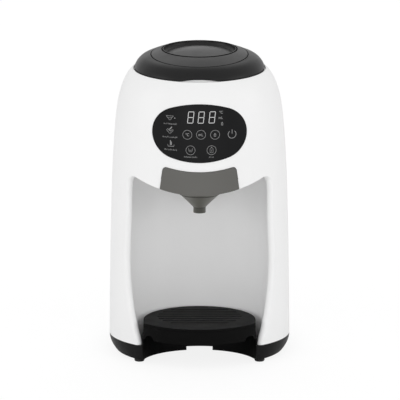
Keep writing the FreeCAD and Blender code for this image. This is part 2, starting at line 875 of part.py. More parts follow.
def housing_halves():
    """The shell parted at the hopper axis; the bay's back wall and roof belong to the front."""
    shell = housing_shell()
    front_half = block(-BEHIND, BEHIND, -BEHIND, 0.0, -BEHIND, BEHIND)
    bay_wall = plain_bay(mm.shell_wall)
    front = shell.common(front_half.fuse(bay_wall))
    rear = shell.cut(front_half).cut(plain_bay(mm.shell_wall + mm.snug_gap))
    return front, rear


front_shape, rear_shape = housing_halves()
solid_piece("front_housing", front_shape)
solid_piece("rear_housing", rear_shape)


# ---------------------------------------------------------------------------------------------
# Base: an open-bottomed moulding with two arms round the arch under the tray
# ---------------------------------------------------------------------------------------------

BASE_TUCK = ((0.0, 1.0), (0.25, 0.55), (0.6, 0.15), (1.0, 0.0))    # height share, tuck share
FOOT_PLACES = [(side * mm.front_foot_x, -mm.front_foot_y) for side in (-1, 1)]
FOOT_PLACES += [(side * mm.rear_foot_x, mm.rear_foot_y) for side in (-1, 1)]
DECK_TOP = mm.tray_bottom - mm.seat_gap
FOOT_EDGE = 0.8          # chamfer round the foot's tread
RIB_HALF = 1.0           # half-thickness of the base's inner ribs
RIB_REST = 2.0           # the ribs end this far above the base's lower edge
RIBS_ACROSS = (20.0, 95.0)
RIBS_ALONG = (-30.0, 30.0)


def plan(inset, low, high):
    """The foot's outline drawn upwards between two heights."""
    tuck = mm.base_taper
    outline_wire = level(mm.half_width - tuck - inset, mm.front_depth - inset,
                         mm.rear_depth - tuck - inset, low)
    return Part.Face(outline_wire).extrude(Vector(0, 0, high - low))


def base_outside():
    """The tucked-in outside of the base."""
    outlines = []
    rise = mm.shell_bottom - mm.foot_height
    for height_share, tuck_share in BASE_TUCK:
        tuck = mm.base_taper * tuck_share
        flare = mm.base_flare * tuck_share
        outlines.append(level(mm.half_width - tuck, mm.front_depth + flare, mm.rear_depth - tuck,
                              mm.foot_height + rise * height_share))
    return Part.makeLoft(outlines, True, False)


def base_shape():
    wall = mm.base_wall
    arch = post(mm.arch_radius, 0.0, BEHIND, 0.0, -mm.arch_centre)
    arch_wall = post(mm.arch_radius + wall, 0.0, BEHIND, 0.0, -mm.arch_centre)
    ceiling = mm.shell_bottom - mm.base_deck

    hollow = plan(wall, 0.0, ceiling).cut(arch_wall)
    fixings = [post(mm.boss_radius, 0.0, ceiling, *where) for where in SCREW_PLACES]
    fixings += [post(mm.foot_radius + 2.0, 0.0, ceiling, *where) for where in FOOT_PLACES]
    ribs = [block(-BEHIND, BEHIND, along - RIB_HALF, along + RIB_HALF,
                  mm.foot_height + RIB_REST, ceiling) for along in RIBS_ACROSS]
    ribs += [block(across - RIB_HALF, across + RIB_HALF, -BEHIND, BEHIND,
                   mm.foot_height + RIB_REST, ceiling) for across in RIBS_ALONG]
    hollow = hollow.cut(fixings[0].multiFuse(fixings[1:] + ribs))

    raised = plain_bay(-mm.deck_inset).common(plan(0.0, mm.shell_bottom - 1.0, DECK_TOP))
    rails = []
    for side in (-1, 1):
        across = side * mm.rail_x
        rails.append(Part.makeCylinder(mm.rail_radius, mm.rail_front - mm.rail_back,
                                       Vector(across, -mm.rail_front, mm.tray_bottom),
                                       Vector(0, 1, 0)))
        rails.append(block(across - mm.rail_radius, across + mm.rail_radius, -mm.rail_front,
                           -mm.rail_back, mm.shell_bottom, mm.tray_bottom))
    shape = base_outside().cut(hollow).multiFuse([raised] + rails).cut(arch)
    half = mm.arch_notch_width / 2.0
    shape = shape.cut(block(-half, half, -mm.arch_centre, mm.arch_radius + wall + 1.0 - mm.arch_centre,
                            0.0, mm.foot_height + mm.arch_notch_height))
    for where in SCREW_PLACES:
        shape = shape.cut(post(mm.screw_radius + 0.2, 0.0, mm.shell_bottom + 1.0, *where))
        shape = shape.cut(post(mm.screw_head_radius + 0.3, 0.0, SCREW_BOTTOM, *where))
    for where in FOOT_PLACES:
        shape = shape.cut(post(mm.foot_radius + 0.2, 0.0, mm.foot_height + mm.foot_recess, *where))
    return one_solid(shape.removeSplitter())


def rubber_feet():
    """Four round feet, each let a little way into the base."""
    feet = []
    for where in FOOT_PLACES:
        foot = post(mm.foot_radius, 0.0, mm.foot_height + mm.foot_recess, *where)
        feet.append(foot.makeChamfer(FOOT_EDGE, upright_edges(foot, lambda p, e: p.z < 0.01)))
    return Part.makeCompound(feet)


def base_screws():
    """Four screws up through the base into the shell's bosses."""
    screws = []
    for where in SCREW_PLACES:
        head = post(mm.screw_head_radius, SCREW_BOTTOM - mm.screw_head, SCREW_BOTTOM, *where)
        shank = post(mm.screw_radius, SCREW_BOTTOM - mm.screw_head, SCREW_BOTTOM + mm.screw_length,
                     *where)
        screws.append(head.fuse(shank).removeSplitter())
    return Part.makeCompound(screws)


solid_piece("base", base_shape())
solid_piece("rubber_feet", rubber_feet())
solid_piece("base_screws", base_screws())


# ---------------------------------------------------------------------------------------------
# Drip tray: a shallow tub that slides on the base's two rails, and the slotted grille on it
# ---------------------------------------------------------------------------------------------

def tray_outline(inset):
    """The tray's plan: round behind, straight at the sides and bowed in front."""
    half = cells.tray_radius - inset
    back = -cells.tray_centre
    straight = -cells.tray_straight
    bow = cells.tray_front - inset - cells.tray_straight
    front_round = (half * half + bow * bow) / (bow * 2.0)
    return [(half, straight, front_round), (half, back), (0, back + half, half),
            (-half, back, half), (-half, straight)]


tray_tub = new_body("tray_tub", (0, 0, cells.tray_bottom))
tub_height = cells.tray_top - cells.grille_thickness - cells.grille_gap - cells.tray_bottom
tub_sketch = sketch_on(tray_tub, "XY_Plane")
outline(tub_sketch, tray_outline(0.0))
pad(tray_tub, tub_sketch, tub_height)
well_sketch = sketch_on(tray_tub, "XY_Plane", tub_height)
outline(well_sketch, tray_outline(cells.tray_wall))
pocket(tray_tub, well_sketch, tub_height - cells.rail_radius - cells.slide_gap - cells.tray_wall)
under_sketch = sketch_on(tray_tub, "XY_Plane")
under_half = cells.rail_x - cells.rail_radius - cells.tray_wall * 1.5
rectangle(under_sketch, -under_half, under_half, cells.under_front - cells.tray_front,
          cells.tray_radius - cells.tray_centre - cells.under_back)
pocket(tray_tub, under_sketch, cells.rail_radius, reverse=True)
groove_sketch = sketch_on(tray_tub, "XZ_Plane")
for side in (-1.0, 1.0):
    circle(groove_sketch, cells.rail_radius + cells.slide_gap, (cells.rail_x * side, 0))
pocket(tray_tub, groove_sketch, cells.tray_front * 3.0, side="Symmetric")

SLOT_ROWS = 7

drip_grille = new_body("drip_grille", (0, 0, cells.tray_top - cells.grille_thickness))
grille_sketch = sketch_on(drip_grille, "XY_Plane")
outline(grille_sketch, tray_outline(0.0))
pad(drip_grille, grille_sketch, cells.grille_thickness)
lip_sketch = sketch_on(drip_grille, "XY_Plane")
outline(lip_sketch, tray_outline(cells.tray_wall + cells.slide_gap))
outline(lip_sketch, tray_outline(cells.tray_wall * 2.0))
pad(drip_grille, lip_sketch, cells.grille_lip, reverse=True)
slots_sketch = sketch_on(drip_grille, "XY_Plane", cells.grille_thickness)
for row_number in range(SLOT_ROWS):
    step = row_number - (SLOT_ROWS - 1) / 2.0
    share = math.sqrt(1.0 - (step / (SLOT_ROWS / 2.0 + 0.6)) ** 2)
    reach = cells.slot_length * (0.5 * share)
    along = -cells.slot_middle + cells.slot_pitch * step
    rectangle(slots_sketch, -reach, reach, along - cells.slot_width / 2.0,
              along + cells.slot_width / 2.0)
pocket(drip_grille, slots_sketch, cells.grille_thickness)


# ---------------------------------------------------------------------------------------------
# Touch panel and the boards behind it
# ---------------------------------------------------------------------------------------------

panel_back = mm.panel_proud - mm.panel_thickness
solid_piece("touch_panel", front_prism(panel_oval(0.0)).common(
    skin(mm.panel_proud, mm.panel_thickness)))
display_block = block(-mm.display_half_width, mm.display_half_width, -FRONT, -mm.front_depth / 2.0,
                      mm.panel_height - mm.display_half_height,
                      mm.panel_height + mm.display_half_height)
solid_piece("display_module", display_block.common(
    skin(panel_back - mm.seat_gap, mm.display_depth)))


def box_piece(name, left, right, front, back, low, high):
    """A rectangular piece between six planes, tied to the sheet."""
    thing = doc.addObject("Part::Box", name)
    bind(thing, "Length", right - left)
    bind(thing, "Width", back - front)
    bind(thing, "Height", high - low)
    place(thing, (left, front, low))
    return keep(thing, name)


board_front = cells.board_set_back - cells.front_depth
box_piece("control_board", -cells.board_half_width, cells.board_half_width,
          board_front, board_front + cells.board_thickness,
          cells.panel_height - cells.board_half_height, cells.panel_height + cells.board_half_height)


# ---------------------------------------------------------------------------------------------
# Deck over the drawer: it carries the dosing gears, the water nozzle and the drawer's rails
# ---------------------------------------------------------------------------------------------

GEAR_CENTRES = mm.gear_module * (mm.drive_teeth + mm.pinion_teeth) / 2.0
NOZZLE = (-26.0, -40.0)
HOSE_RISE = (-mm.heater_x * 1.3, mm.unit_y)


def deck_shape():
    sheet_block = block(-BEHIND, BEHIND, -BEHIND, mm.back_wall - mm.shell_wall - mm.seat_gap,
                        mm.deck_height, mm.deck_upper)
    deck = outer_form(-mm.shell_wall - mm.seat_gap).common(sheet_block)
    journal = post(mm.gear_journal, mm.deck_upper, mm.deck_upper + mm.gear_thickness - 0.8)
    guides = []
    for turn in (-90.0, 30.0, 150.0):
        guide = block(mm.hopper_radius + 0.5, mm.hopper_radius + 4.5, -5.0, 5.0,
                      mm.deck_upper, mm.hopper_bottom + 5.0)
        guides.append(guide.rotate(Vector(0, 0, 0), UP, turn))
    deck = deck.multiFuse([journal] + guides)
    holes = [
        post(mm.outlet_radius + mm.chute_wall + 1.2, 0.0, BEHIND, 0.0, -mm.outlet_distance),
        post(mm.nozzle_radius + mm.snug_gap, 0.0, BEHIND, *NOZZLE),
        post(mm.motor_shaft + 1.0, 0.0, BEHIND, 0.0, GEAR_CENTRES),
        post(mm.hose_radius + 1.0, 0.0, BEHIND, *HOSE_RISE),
    ]
    return one_solid(deck.cut(holes[0].multiFuse(holes[1:])))


def drawer_rails():
    """A U-shaped runner under the deck, with a ledge on each side for the drawer's lips."""
    inner = mm.holder_half + mm.lip_reach + mm.slide_gap
    outer = inner + mm.rail_wall
    ledge_top = mm.holder_top - mm.lip_height - mm.seat_gap
    low = ledge_top - mm.rail_wall
    front = -mm.runner_front
    back = DRAWER_BACK + mm.rail_wall
    frame = block(-outer, outer, front, back, low, mm.deck_height)
    frame = frame.cut(block(-inner, inner, front, DRAWER_BACK, ledge_top, mm.deck_height))
    return one_solid(frame.cut(block(-SLOT_HALF, SLOT_HALF, front, DRAWER_BACK, low, ledge_top)))


solid_piece("deck", deck_shape())
solid_piece("drawer_rails", drawer_rails())


# ---------------------------------------------------------------------------------------------
# Funnel drawer: the cover plate, the holder behind it and the mixing funnel standing in it
# ---------------------------------------------------------------------------------------------

def funnel_holder():
    half = mm.holder_half
    body = block(-half, half, -FRONT, mm.holder_back, 0.0, mm.holder_top)
    lips = block(-half - mm.lip_reach, half + mm.lip_reach, -mm.runner_front, mm.holder_back,
                 mm.holder_top - mm.lip_height, mm.holder_top)
    body = body.fuse(lips)
    body = body.common(chin_cylinder())
    body = body.common(outer_form(mm.plate_proud - mm.plate_thickness - mm.snug_gap))
    inner = half - mm.holder_wall
    well = block(-inner, inner, -mm.runner_front, mm.holder_back - mm.holder_wall, 0.0, BEHIND)
    well = well.common(chin_cylinder(mm.holder_floor))
    collar = post(mm.funnel_radius + mm.seat_gap + mm.holder_wall, 0.0, mm.holder_top,
                  0.0, -mm.funnel_centre)
    bore = post(mm.funnel_radius + mm.seat_gap, 0.0, BEHIND, 0.0, -mm.funnel_centre)
    return one_solid(body.cut(well.cut(collar)).cut(bore))


solid_piece("funnel_cover", plate_prism(0.0).common(chin_cylinder()).common(
    skin(mm.plate_proud, mm.plate_thickness)))
solid_piece("funnel_holder", funnel_holder())

cone_rise = cells.funnel_radius - cells.neck_radius
shoulder = cells.neck_height + cone_rise
bore_drop = cells.funnel_wall * 0.4
rim_low = cells.holder_top + 0.1
turned("mixing_funnel", [
    (cells.spout_bore, cells.spout_tip),
    (cells.neck_radius, cells.spout_tip),
    (cells.neck_radius, cells.neck_height),
    (cells.funnel_radius, shoulder),
    (cells.funnel_radius, rim_low),
    (cells.funnel_radius + cells.funnel_rim, rim_low),
    (cells.funnel_radius + cells.funnel_rim, rim_low + cells.funnel_rim_height),
    (cells.funnel_radius - cells.funnel_wall, rim_low + cells.funnel_rim_height),
    (cells.funnel_radius - cells.funnel_wall, shoulder + bore_drop),
    (cells.spout_bore, cells.neck_height + bore_drop + cells.neck_radius - cells.funnel_wall
     - cells.spout_bore),
], (0, -cells.funnel_centre, 0))


# ---------------------------------------------------------------------------------------------
# Dosing drive: a gear under the hopper, turned by the motor's pinion, with a dog for the wheel
# ---------------------------------------------------------------------------------------------

GEAR_CLEARANCE = 0.3     # under each gear, above the deck


def gear(name, teeth, at):
    """A spur gear with straight-sided teeth; one of them points along the body's own Y."""
    body = new_body(name, at)
    pitch = cells.gear_module * teeth / 2.0
    root = pitch - cells.gear_module * 1.1
    tip = pitch + cells.gear_module * 0.85
    disc = sketch_on(body, "XY_Plane")
    circle(disc, root)
    pad(body, disc, cells.gear_thickness)
    tooth = sketch_on(body, "XY_Plane")
    foot_half = cells.gear_module * 0.8
    tip_half = cells.gear_module * 0.3
    outline(tooth, [(-foot_half, root - 0.5), (foot_half, root - 0.5), (tip_half, tip),
                    (-tip_half, tip)])
    repeat_round(body, pad(body, tooth, cells.gear_thickness), teeth)
    return body


gear_centres = cells.gear_module * (cells.drive_teeth + cells.pinion_teeth) / 2.0

drive_gear = gear("drive_gear", cells.drive_teeth, (0, 0, cells.deck_upper + GEAR_CLEARANCE))
journal_bore = sketch_on(drive_gear, "XY_Plane")
circle(journal_bore, cells.gear_journal + cells.running_fit)
pocket(drive_gear, journal_bore, cells.gear_thickness - 0.8, reverse=True)
dog = sketch_on(drive_gear, "XY_Plane", cells.gear_thickness)
rectangle(dog, -cells.dog_length / 2.0, cells.dog_length / 2.0,
          -cells.dog_width / 2.0, cells.dog_width / 2.0)
pad(drive_gear, dog, cells.dog_height)

pinion_gear = gear("pinion_gear", cells.pinion_teeth, (0, gear_centres, cells.deck_upper + GEAR_CLEARANCE))
pinion_gear.Placement.Rotation = FreeCAD.Rotation(UP, 180.0 / mm.pinion_teeth)
shaft = sketch_on(pinion_gear, "XY_Plane")
circle(shaft, cells.motor_shaft)
pad(pinion_gear, shaft, cells.shaft_length, reverse=True)

gearmotor = new_body("gearmotor", (0, gear_centres, cells.deck_height - cells.seat_gap))
motor_can = sketch_on(gearmotor, "XY_Plane")
circle(motor_can, cells.motor_radius)
pad(gearmotor, motor_can, cells.motor_length, reverse=True)
shaft_bore = sketch_on(gearmotor, "XY_Plane")
circle(shaft_bore, cells.motor_shaft + cells.running_fit)
pocket(gearmotor, shaft_bore, cells.shaft_length)


# ---------------------------------------------------------------------------------------------
# Powder hopper with its floor, dosing wheel, stirrer and scraper
# ---------------------------------------------------------------------------------------------

inside = cells.hopper_radius - cells.hopper_wall
ledge_top = cells.hopper_bottom + cells.hopper_ledge
powder_hopper = turned("powder_hopper", [
    (inside - cells.ledge_reach, cells.hopper_bottom),
    (cells.hopper_radius, cells.hopper_bottom),
    (cells.hopper_radius, cells.flange_top - cells.flange_thickness),
    (cells.flange_radius, cells.flange_top - cells.flange_thickness),
    (cells.flange_radius, cells.flange_top),
    (inside, cells.flange_top),
    (inside, ledge_top),
    (inside - cells.ledge_reach, ledge_top),
])
ear_inner = cells.knuckle_half_width + cells.seat_gap
ear_sketch = sketch_on(powder_hopper, "YZ_Plane", ear_inner)
outline(ear_sketch, [
    (cells.hinge_y - cells.knuckle_radius, cells.flange_top - 0.5),
    (cells.hinge_y + cells.knuckle_radius, cells.flange_top - 0.5),
    (cells.hinge_y + cells.knuckle_radius, cells.hinge_height),
    (cells.hinge_y, cells.hinge_height + cells.knuckle_radius, cells.knuckle_radius),
    (cells.hinge_y - cells.knuckle_radius, cells.hinge_height, cells.knuckle_radius),
])
mirror_across(powder_hopper, pad(powder_hopper, ear_sketch, cells.ear_width))
pin_hole = sketch_on(powder_hopper, "YZ_Plane")
circle(pin_hole, cells.hinge_pin_radius + cells.running_fit, (cells.hinge_y, cells.hinge_height))
pocket(powder_hopper, pin_hole, cells.hopper_radius, side="Symmetric")


def notch_arch(shrink):
    """The arched notch in front of the lid, as a lying cylinder cut off behind."""
    rise = mm.notch_height
    radius = (mm.notch_half_width ** 2 + rise ** 2) / (2.0 * rise)
    axis_height = mm.lid_edge + rise - radius
    return Part.makeCylinder(radius - shrink, mm.lid_radius, Vector(0, -mm.lid_radius * 1.5, axis_height),
                             Vector(0, 1, 0))


lip_ring = post(mm.lid_radius - 0.4, mm.flange_top, mm.hinge_height).cut(
    post(mm.lid_radius - mm.lid_wall + 0.2, 0.0, BEHIND))
solid_piece("front_lip", one_solid(lip_ring.common(notch_arch(mm.slide_gap))))

hopper_floor = turned("hopper_floor", [
    (cells.hub_radius + cells.running_fit, ledge_top),
    (inside - cells.seat_gap, ledge_top),
    (inside - cells.seat_gap, ledge_top + cells.floor_thickness),
    (cells.hub_radius + cells.running_fit, ledge_top + cells.floor_thickness),
])
chute = sketch_on(hopper_floor, "XY_Plane", cells.chute_bottom)
circle(chute, cells.outlet_radius + cells.chute_wall, (0, -cells.outlet_distance))
pad(hopper_floor, chute, ledge_top - cells.chute_bottom + 1.0)
outlet = sketch_on(hopper_floor, "XY_Plane", ledge_top + cells.floor_thickness)
circle(outlet, cells.outlet_radius, (0, -cells.outlet_distance))
pocket(hopper_floor, outlet, ledge_top + cells.floor_thickness - cells.chute_bottom)

wheel_bottom = ledge_top + cells.floor_thickness + cells.seat_gap
wheel_top = wheel_bottom + cells.wheel_thickness
dosing_wheel = new_body("dosing_wheel", (0, 0, wheel_bottom))
rotor = sketch_on(dosing_wheel, "XY_Plane")
circle(rotor, inside - cells.slide_gap)
pad(dosing_wheel, rotor, cells.wheel_thickness)
hub_bottom = cells.hopper_bottom - cells.hub_drop
hub = sketch_on(dosing_wheel, "XY_Plane")
circle(hub, cells.hub_radius)
pad(dosing_wheel, hub, wheel_bottom - hub_bottom, reverse=True)
dog_slot = sketch_on(dosing_wheel, "XY_Plane", hub_bottom - wheel_bottom)
slot_half_length = (cells.dog_length + cells.slide_gap) / 2.0
slot_half_width = (cells.dog_width + cells.slide_gap) / 2.0
rectangle(dog_slot, -slot_half_length, slot_half_length, -slot_half_width, slot_half_width)
pocket(dosing_wheel, dog_slot, cells.dog_height, reverse=True)
powder_pocket = sketch_on(dosing_wheel, "XY_Plane", cells.wheel_thickness)
circle(powder_pocket, cells.pocket_radius, (0, -cells.outlet_distance))
repeat_round(dosing_wheel, pocket(dosing_wheel, powder_pocket, cells.wheel_thickness),
             cells.pocket_count)

stirrer = new_body("stirrer", (0, 0, wheel_top))
arm_height = cells.stirrer_height - wheel_top
stirrer_hub = sketch_on(stirrer, "XY_Plane")
circle(stirrer_hub, cells.hub_radius)
pad(stirrer, stirrer_hub, arm_height + cells.stirrer_radius + 1.0)
arm = sketch_on(stirrer, "YZ_Plane")
circle(arm, cells.stirrer_radius, (0, arm_height))
pad(stirrer, arm, cells.stirrer_length, side="Symmetric")
finger = sketch_on(stirrer, "XY_Plane", arm_height)
circle(finger, cells.finger_radius, (cells.finger_x, 0))
mirror_across(stirrer, pad(stirrer, finger, cells.finger_length, reverse=True))

SCRAPER_LOW = wheel_top.value + mm.seat_gap
scraper_disc = post(inside.value, SCRAPER_LOW, SCRAPER_LOW + mm.scraper_thickness)
scraper_sector = block(-mm.scraper_half_width, mm.scraper_half_width, -mm.hopper_radius,
                       -mm.outlet_distance + mm.scraper_half_width, 0.0, BEHIND)
solid_piece("scraper", one_solid(scraper_disc.common(scraper_sector)))


# ---------------------------------------------------------------------------------------------
# Lid: a domed shell with a separate round insert set forward in it, whose middle is dished
# ---------------------------------------------------------------------------------------------

def dome(inset):
    """The lid's dome, `inset` inside its outside, down to its lower edge."""
    rim = mm.lid_radius - inset
    shoulder_inset = inset * 0.71
    shoulder_at = (mm.lid_shoulder_radius - shoulder_inset, mm.lid_shoulder_height - shoulder_inset)
    edge = (rim, mm.lid_edge + mm.lid_edge_height)
    top = (mm.dish_radius, mm.dish_height - inset)
    corners = [(0.0, mm.lid_edge), (rim, mm.lid_edge), edge, shoulder_at, top, (0.0, top[1])]
    edges = []
    for first, last in zip(corners, corners[1:] + corners[:1]):
        if last is shoulder_at:
            curve = arc_between(first, last, mm.lid_side_round - inset)
        elif last is top:
            curve = arc_between(first, last, mm.lid_top_round)
        else:
            curve = Part.LineSegment(Vector(*first, 0), Vector(*last, 0))
        edges.append(curve.toShape())
    face = Part.Face(Part.Wire(edges))
    face.rotate(Vector(0, 0, 0), Vector(1, 0, 0), 90)
    return face.revolve(Vector(0, 0, 0), UP, 360)


def ring_cylinder(radius):
    """A cylinder about the insert's own axis, which lies in front of the lid's axis."""
    return post(radius, 0.0, BEHIND, 0.0, -mm.ring_forward)


def lying_pin(radius, half_length, along, up):
    """A cylinder along X."""
    return Part.makeCylinder(radius, 2.0 * half_length, Vector(-half_length, along, up),
                             Vector(1, 0, 0))


def lid_shell():
    outer, under, below = dome(0.0), dome(mm.lid_wall), dome(2.0 * mm.lid_wall)
    seam = mm.ring_radius + mm.ring_groove / 2.0
    shell = outer.cut(under).cut(ring_cylinder(seam))
    ledge = under.cut(below).common(ring_cylinder(seam + mm.lid_wall))
    ledge = ledge.cut(ring_cylinder(seam - mm.ring_ledge))
    shell = shell.fuse(ledge)

    # the hinge's middle knuckle, tied to the dome above it
    half = mm.knuckle_half_width
    web = block(-half, half, mm.hinge_y - mm.knuckle_radius, mm.hinge_y + mm.knuckle_radius,
                mm.hinge_height, mm.lid_shoulder_height).common(outer)
    knuckle = lying_pin(mm.knuckle_radius, half, mm.hinge_y, mm.hinge_height)
    reach = half + mm.ear_width + 2.0 * mm.slide_gap
    room = block(-reach, reach, mm.hinge_y - mm.knuckle_radius - mm.slide_gap, BEHIND,
                 0.0, mm.hinge_height + mm.knuckle_radius + mm.slide_gap)
    swing = block(-BEHIND, BEHIND, mm.hinge_y, BEHIND, 0.0, mm.hinge_height)
    swing = swing.cut(lying_pin(mm.knuckle_radius, BEHIND, mm.hinge_y, mm.hinge_height))
    behind = block(-BEHIND, BEHIND, mm.hinge_y + mm.knuckle_radius - mm.seat_gap * 2.0, BEHIND,
                   0.0, BEHIND)
    shell = shell.cut(room).cut(swing).cut(behind).cut(notch_arch(0.0))
    shell = shell.multiFuse([knuckle, web])
    pin = lying_pin(mm.hinge_pin_radius + mm.running_fit, BEHIND, mm.hinge_y, mm.hinge_height)
    return one_solid(shell.cut(pin))


def lid_insert():
    dish_floor = mm.dish_height - mm.dish_depth
    edge = mm.ring_radius - mm.ring_groove / 2.0
    insert = dome(0.0).cut(dome(mm.lid_wall)).common(ring_cylinder(edge))
    bowl = post(mm.dish_radius + mm.lid_wall, dish_floor - mm.lid_wall, mm.dish_height - 1.0)
    return one_solid(insert.fuse(bowl).cut(post(mm.dish_radius, dish_floor, BEHIND)))


solid_piece("lid_shell", lid_shell())
solid_piece("lid_insert", lid_insert())
pin_half = cells.knuckle_half_width + cells.seat_gap + cells.ear_width


def hinge_pin(name, radius, half_length, at):
    """A plain pin along X."""
    body = new_body(name, at)
    sketch = sketch_on(body, "YZ_Plane")
    circle(sketch, radius)
    pad(body, sketch, half_length * 2.0, side="Symmetric")


hinge_pin("lid_hinge_pin", cells.hinge_pin_radius, pin_half, (0, cells.hinge_y, cells.hinge_height))


# ---------------------------------------------------------------------------------------------
# Water tank behind the flat wall, its hinged lid, its outlet valve and its float
# ---------------------------------------------------------------------------------------------

TANK_FRONT = mm.back_wall + mm.tank_gap
TANK_BOTTOM = mm.shelf_height + mm.seat_gap
TANK_FLOOR = TANK_BOTTOM + mm.tank_floor
whole_form = outer_form()
TANK_WIDTH, _, TANK_REAR = form_reach(whole_form, mm.tank_top)
TANK_HINGE_Y = TANK_REAR + mm.tank_hinge_radius + mm.slide_gap
TANK_HINGE_Z = mm.tank_top + 1.5


def tank_room(grow, front, low, high):
    """The part of the outer form behind a flat wall, between two heights."""
    return outer_form(grow).common(block(-BEHIND, BEHIND, front, BEHIND, low, high))


def tank_shape():
    tank = tank_room(0.0, TANK_FRONT, TANK_BOTTOM, mm.tank_top)
    half, radius = mm.tank_hinge_half, mm.tank_hinge_radius
    brackets = []
    for side in (-1, 1):
        near, far = side * (half + mm.seat_gap), side * (half + 6.0)
        left, right = min(near, far), max(near, far)
        brackets.append(block(left, right, TANK_REAR - 5.0, TANK_HINGE_Y + radius,
                              mm.tank_top - 8.0, mm.tank_top))
        brackets.append(block(left, right, TANK_HINGE_Y - radius, TANK_HINGE_Y + radius,
                              mm.tank_top - 1.0, TANK_HINGE_Z))
        brackets.append(Part.makeCylinder(radius, right - left, Vector(left, TANK_HINGE_Y, TANK_HINGE_Z),
                                          Vector(1, 0, 0)))
    tank = tank.multiFuse(brackets)
    tank = tank.cut(tank_room(-mm.tank_wall, TANK_FRONT + mm.tank_wall, TANK_FLOOR, BEHIND))
    tank = tank.cut(post(mm.valve_neck_radius + mm.snug_gap, 0.0, mm.tank_top, 0.0, mm.valve_y))
    pin = lying_pin(mm.hinge_pin_radius + mm.running_fit, BEHIND, TANK_HINGE_Y, TANK_HINGE_Z)
    return one_solid(tank.cut(pin))


def lid_level(inset, height):
    """The tank lid's outline: the rear half of an ellipse, cut off flat in front."""
    width, depth = TANK_WIDTH - inset, TANK_REAR - inset
    front = TANK_FRONT + inset
    turn = math.asin(front / depth)
    centre = Vector(0, 0, height)
    curve = Part.Ellipse(Vector(0, depth, height), Vector(-width, 0, height), centre)
    arc = Part.ArcOfEllipse(curve, turn - math.pi / 2.0, math.pi / 2.0 - turn)
    chord = Part.LineSegment(arc.EndPoint, arc.StartPoint)
    return Part.Wire([arc.toShape(), chord.toShape()])


def tank_lid():
    low = mm.tank_top + mm.seat_gap
    lid = Part.makeLoft([lid_level(0.0, low), lid_level(0.0, low + 1.6), lid_level(0.9, low + 3.0),
                         lid_level(3.0, low + mm.tank_lid_thickness)], True, True)
    skirt_outside = mm.tank_wall + mm.slide_gap
    skirt_base = low - mm.tank_skirt
    skirt = Part.Face(lid_level(skirt_outside, skirt_base)).extrude(Vector(0, 0, mm.tank_skirt + 0.5))
    well = Part.Face(lid_level(skirt_outside + 1.6, skirt_base)).extrude(Vector(0, 0, mm.tank_skirt))
    half, radius = mm.tank_hinge_half, mm.tank_hinge_radius
    arm = block(-half, half, TANK_REAR - 6.0, TANK_HINGE_Y, TANK_HINGE_Z, TANK_HINGE_Z + radius)
    knuckle = lying_pin(radius, half, TANK_HINGE_Y, TANK_HINGE_Z)
    lid = lid.multiFuse([skirt.cut(well), arm, knuckle])
    pin = lying_pin(mm.hinge_pin_radius + mm.running_fit, BEHIND, TANK_HINGE_Y, TANK_HINGE_Z)
    return one_solid(lid.cut(pin))


solid_piece("water_tank", tank_shape())
solid_piece("tank_lid", tank_lid())
hinge_pin("tank_hinge_pin", cells.hinge_pin_radius, cells.tank_hinge_half + 6.0,
          (0, TANK_HINGE_Y, TANK_HINGE_Z))

tank_floor_top = cells.shelf_height + cells.seat_gap + cells.tank_floor
neck_bottom = cells.shelf_height - cells.valve_neck_drop + 1.0
flange_low = tank_floor_top + cells.seat_gap
flange_high = flange_low + cells.valve_flange
tower_top = flange_high + cells.valve_tower
valve_bore = cells.poppet_radius + 1.0
sill = neck_bottom + cells.valve_sill
tank_valve_body = turned("tank_valve_body", [
    (cells.orifice_radius, neck_bottom),
    (cells.valve_neck_radius, neck_bottom),
    (cells.valve_neck_radius, flange_low),
    (cells.valve_flange_radius, flange_low),
    (cells.valve_flange_radius, flange_high),
    (valve_bore + cells.valve_flange, flange_high),
    (valve_bore + cells.valve_flange, tower_top),
    (cells.stem_radius + cells.running_fit, tower_top),
    (cells.stem_radius + cells.running_fit, tower_top - cells.valve_flange),
    (valve_bore, tower_top - cells.valve_flange),
    (valve_bore, sill),
    (cells.orifice_radius, sill),
], (0, cells.valve_y, 0))
window = sketch_on(tank_valve_body, "YZ_Plane")
window_half = cells.valve_flange
rectangle(window, -window_half, window_half, flange_high + 1.0, tower_top - cells.valve_flange - 1.0)
window_pocket = pocket(tank_valve_body, window, cells.valve_flange_radius, reverse=True)
repeat_round(tank_valve_body, window_pocket, 4)

poppet_bottom = sill + cells.valve_travel + 0.1
poppet_top = poppet_bottom + 2.0
turned("valve_poppet", [
    (0, neck_bottom + cells.pin_reach + cells.seat_gap),
    (cells.stem_radius - 0.3, neck_bottom + cells.pin_reach + cells.seat_gap),
    (cells.stem_radius - 0.3, poppet_bottom),
    (cells.poppet_radius, poppet_bottom),
    (cells.poppet_radius, poppet_top),
    (cells.stem_radius, poppet_top),
    (cells.stem_radius, tower_top + cells.valve_travel + 2.0),
    (0, tower_top + cells.valve_travel + 2.0),
], (0, cells.valve_y, 0))

cup_floor = neck_bottom - cells.seat_cup_wall - 1.0
cup_under = cells.shelf_height - cells.shell_wall - cells.snug_gap
cup_inside = cells.seat_cup_radius - cells.seat_cup_wall
tank_seat = turned("tank_seat", [
    (0, cup_floor - cells.seat_cup_wall),
    (cells.seat_cup_radius, cup_floor - cells.seat_cup_wall),
    (cells.seat_cup_radius, cup_under - cells.seat_cup_wall),
    (cells.seat_cup_radius + cells.seat_cup_wall, cup_under - cells.seat_cup_wall),
    (cells.seat_cup_radius + cells.seat_cup_wall, cup_under),
    (cells.seat_cup_radius, cup_under),
    (cells.seat_cup_radius, cells.shelf_height),
    (cup_inside, cells.shelf_height),
    (cup_inside, cup_floor),
    (cells.stem_radius - 0.3, cup_floor),
    (cells.stem_radius - 0.3, neck_bottom + cells.pin_reach),
    (0, neck_bottom + cells.pin_reach),
], (0, cells.valve_y, 0))
nipple_at = (-(cup_inside - cells.hose_radius - 1.0), 0)
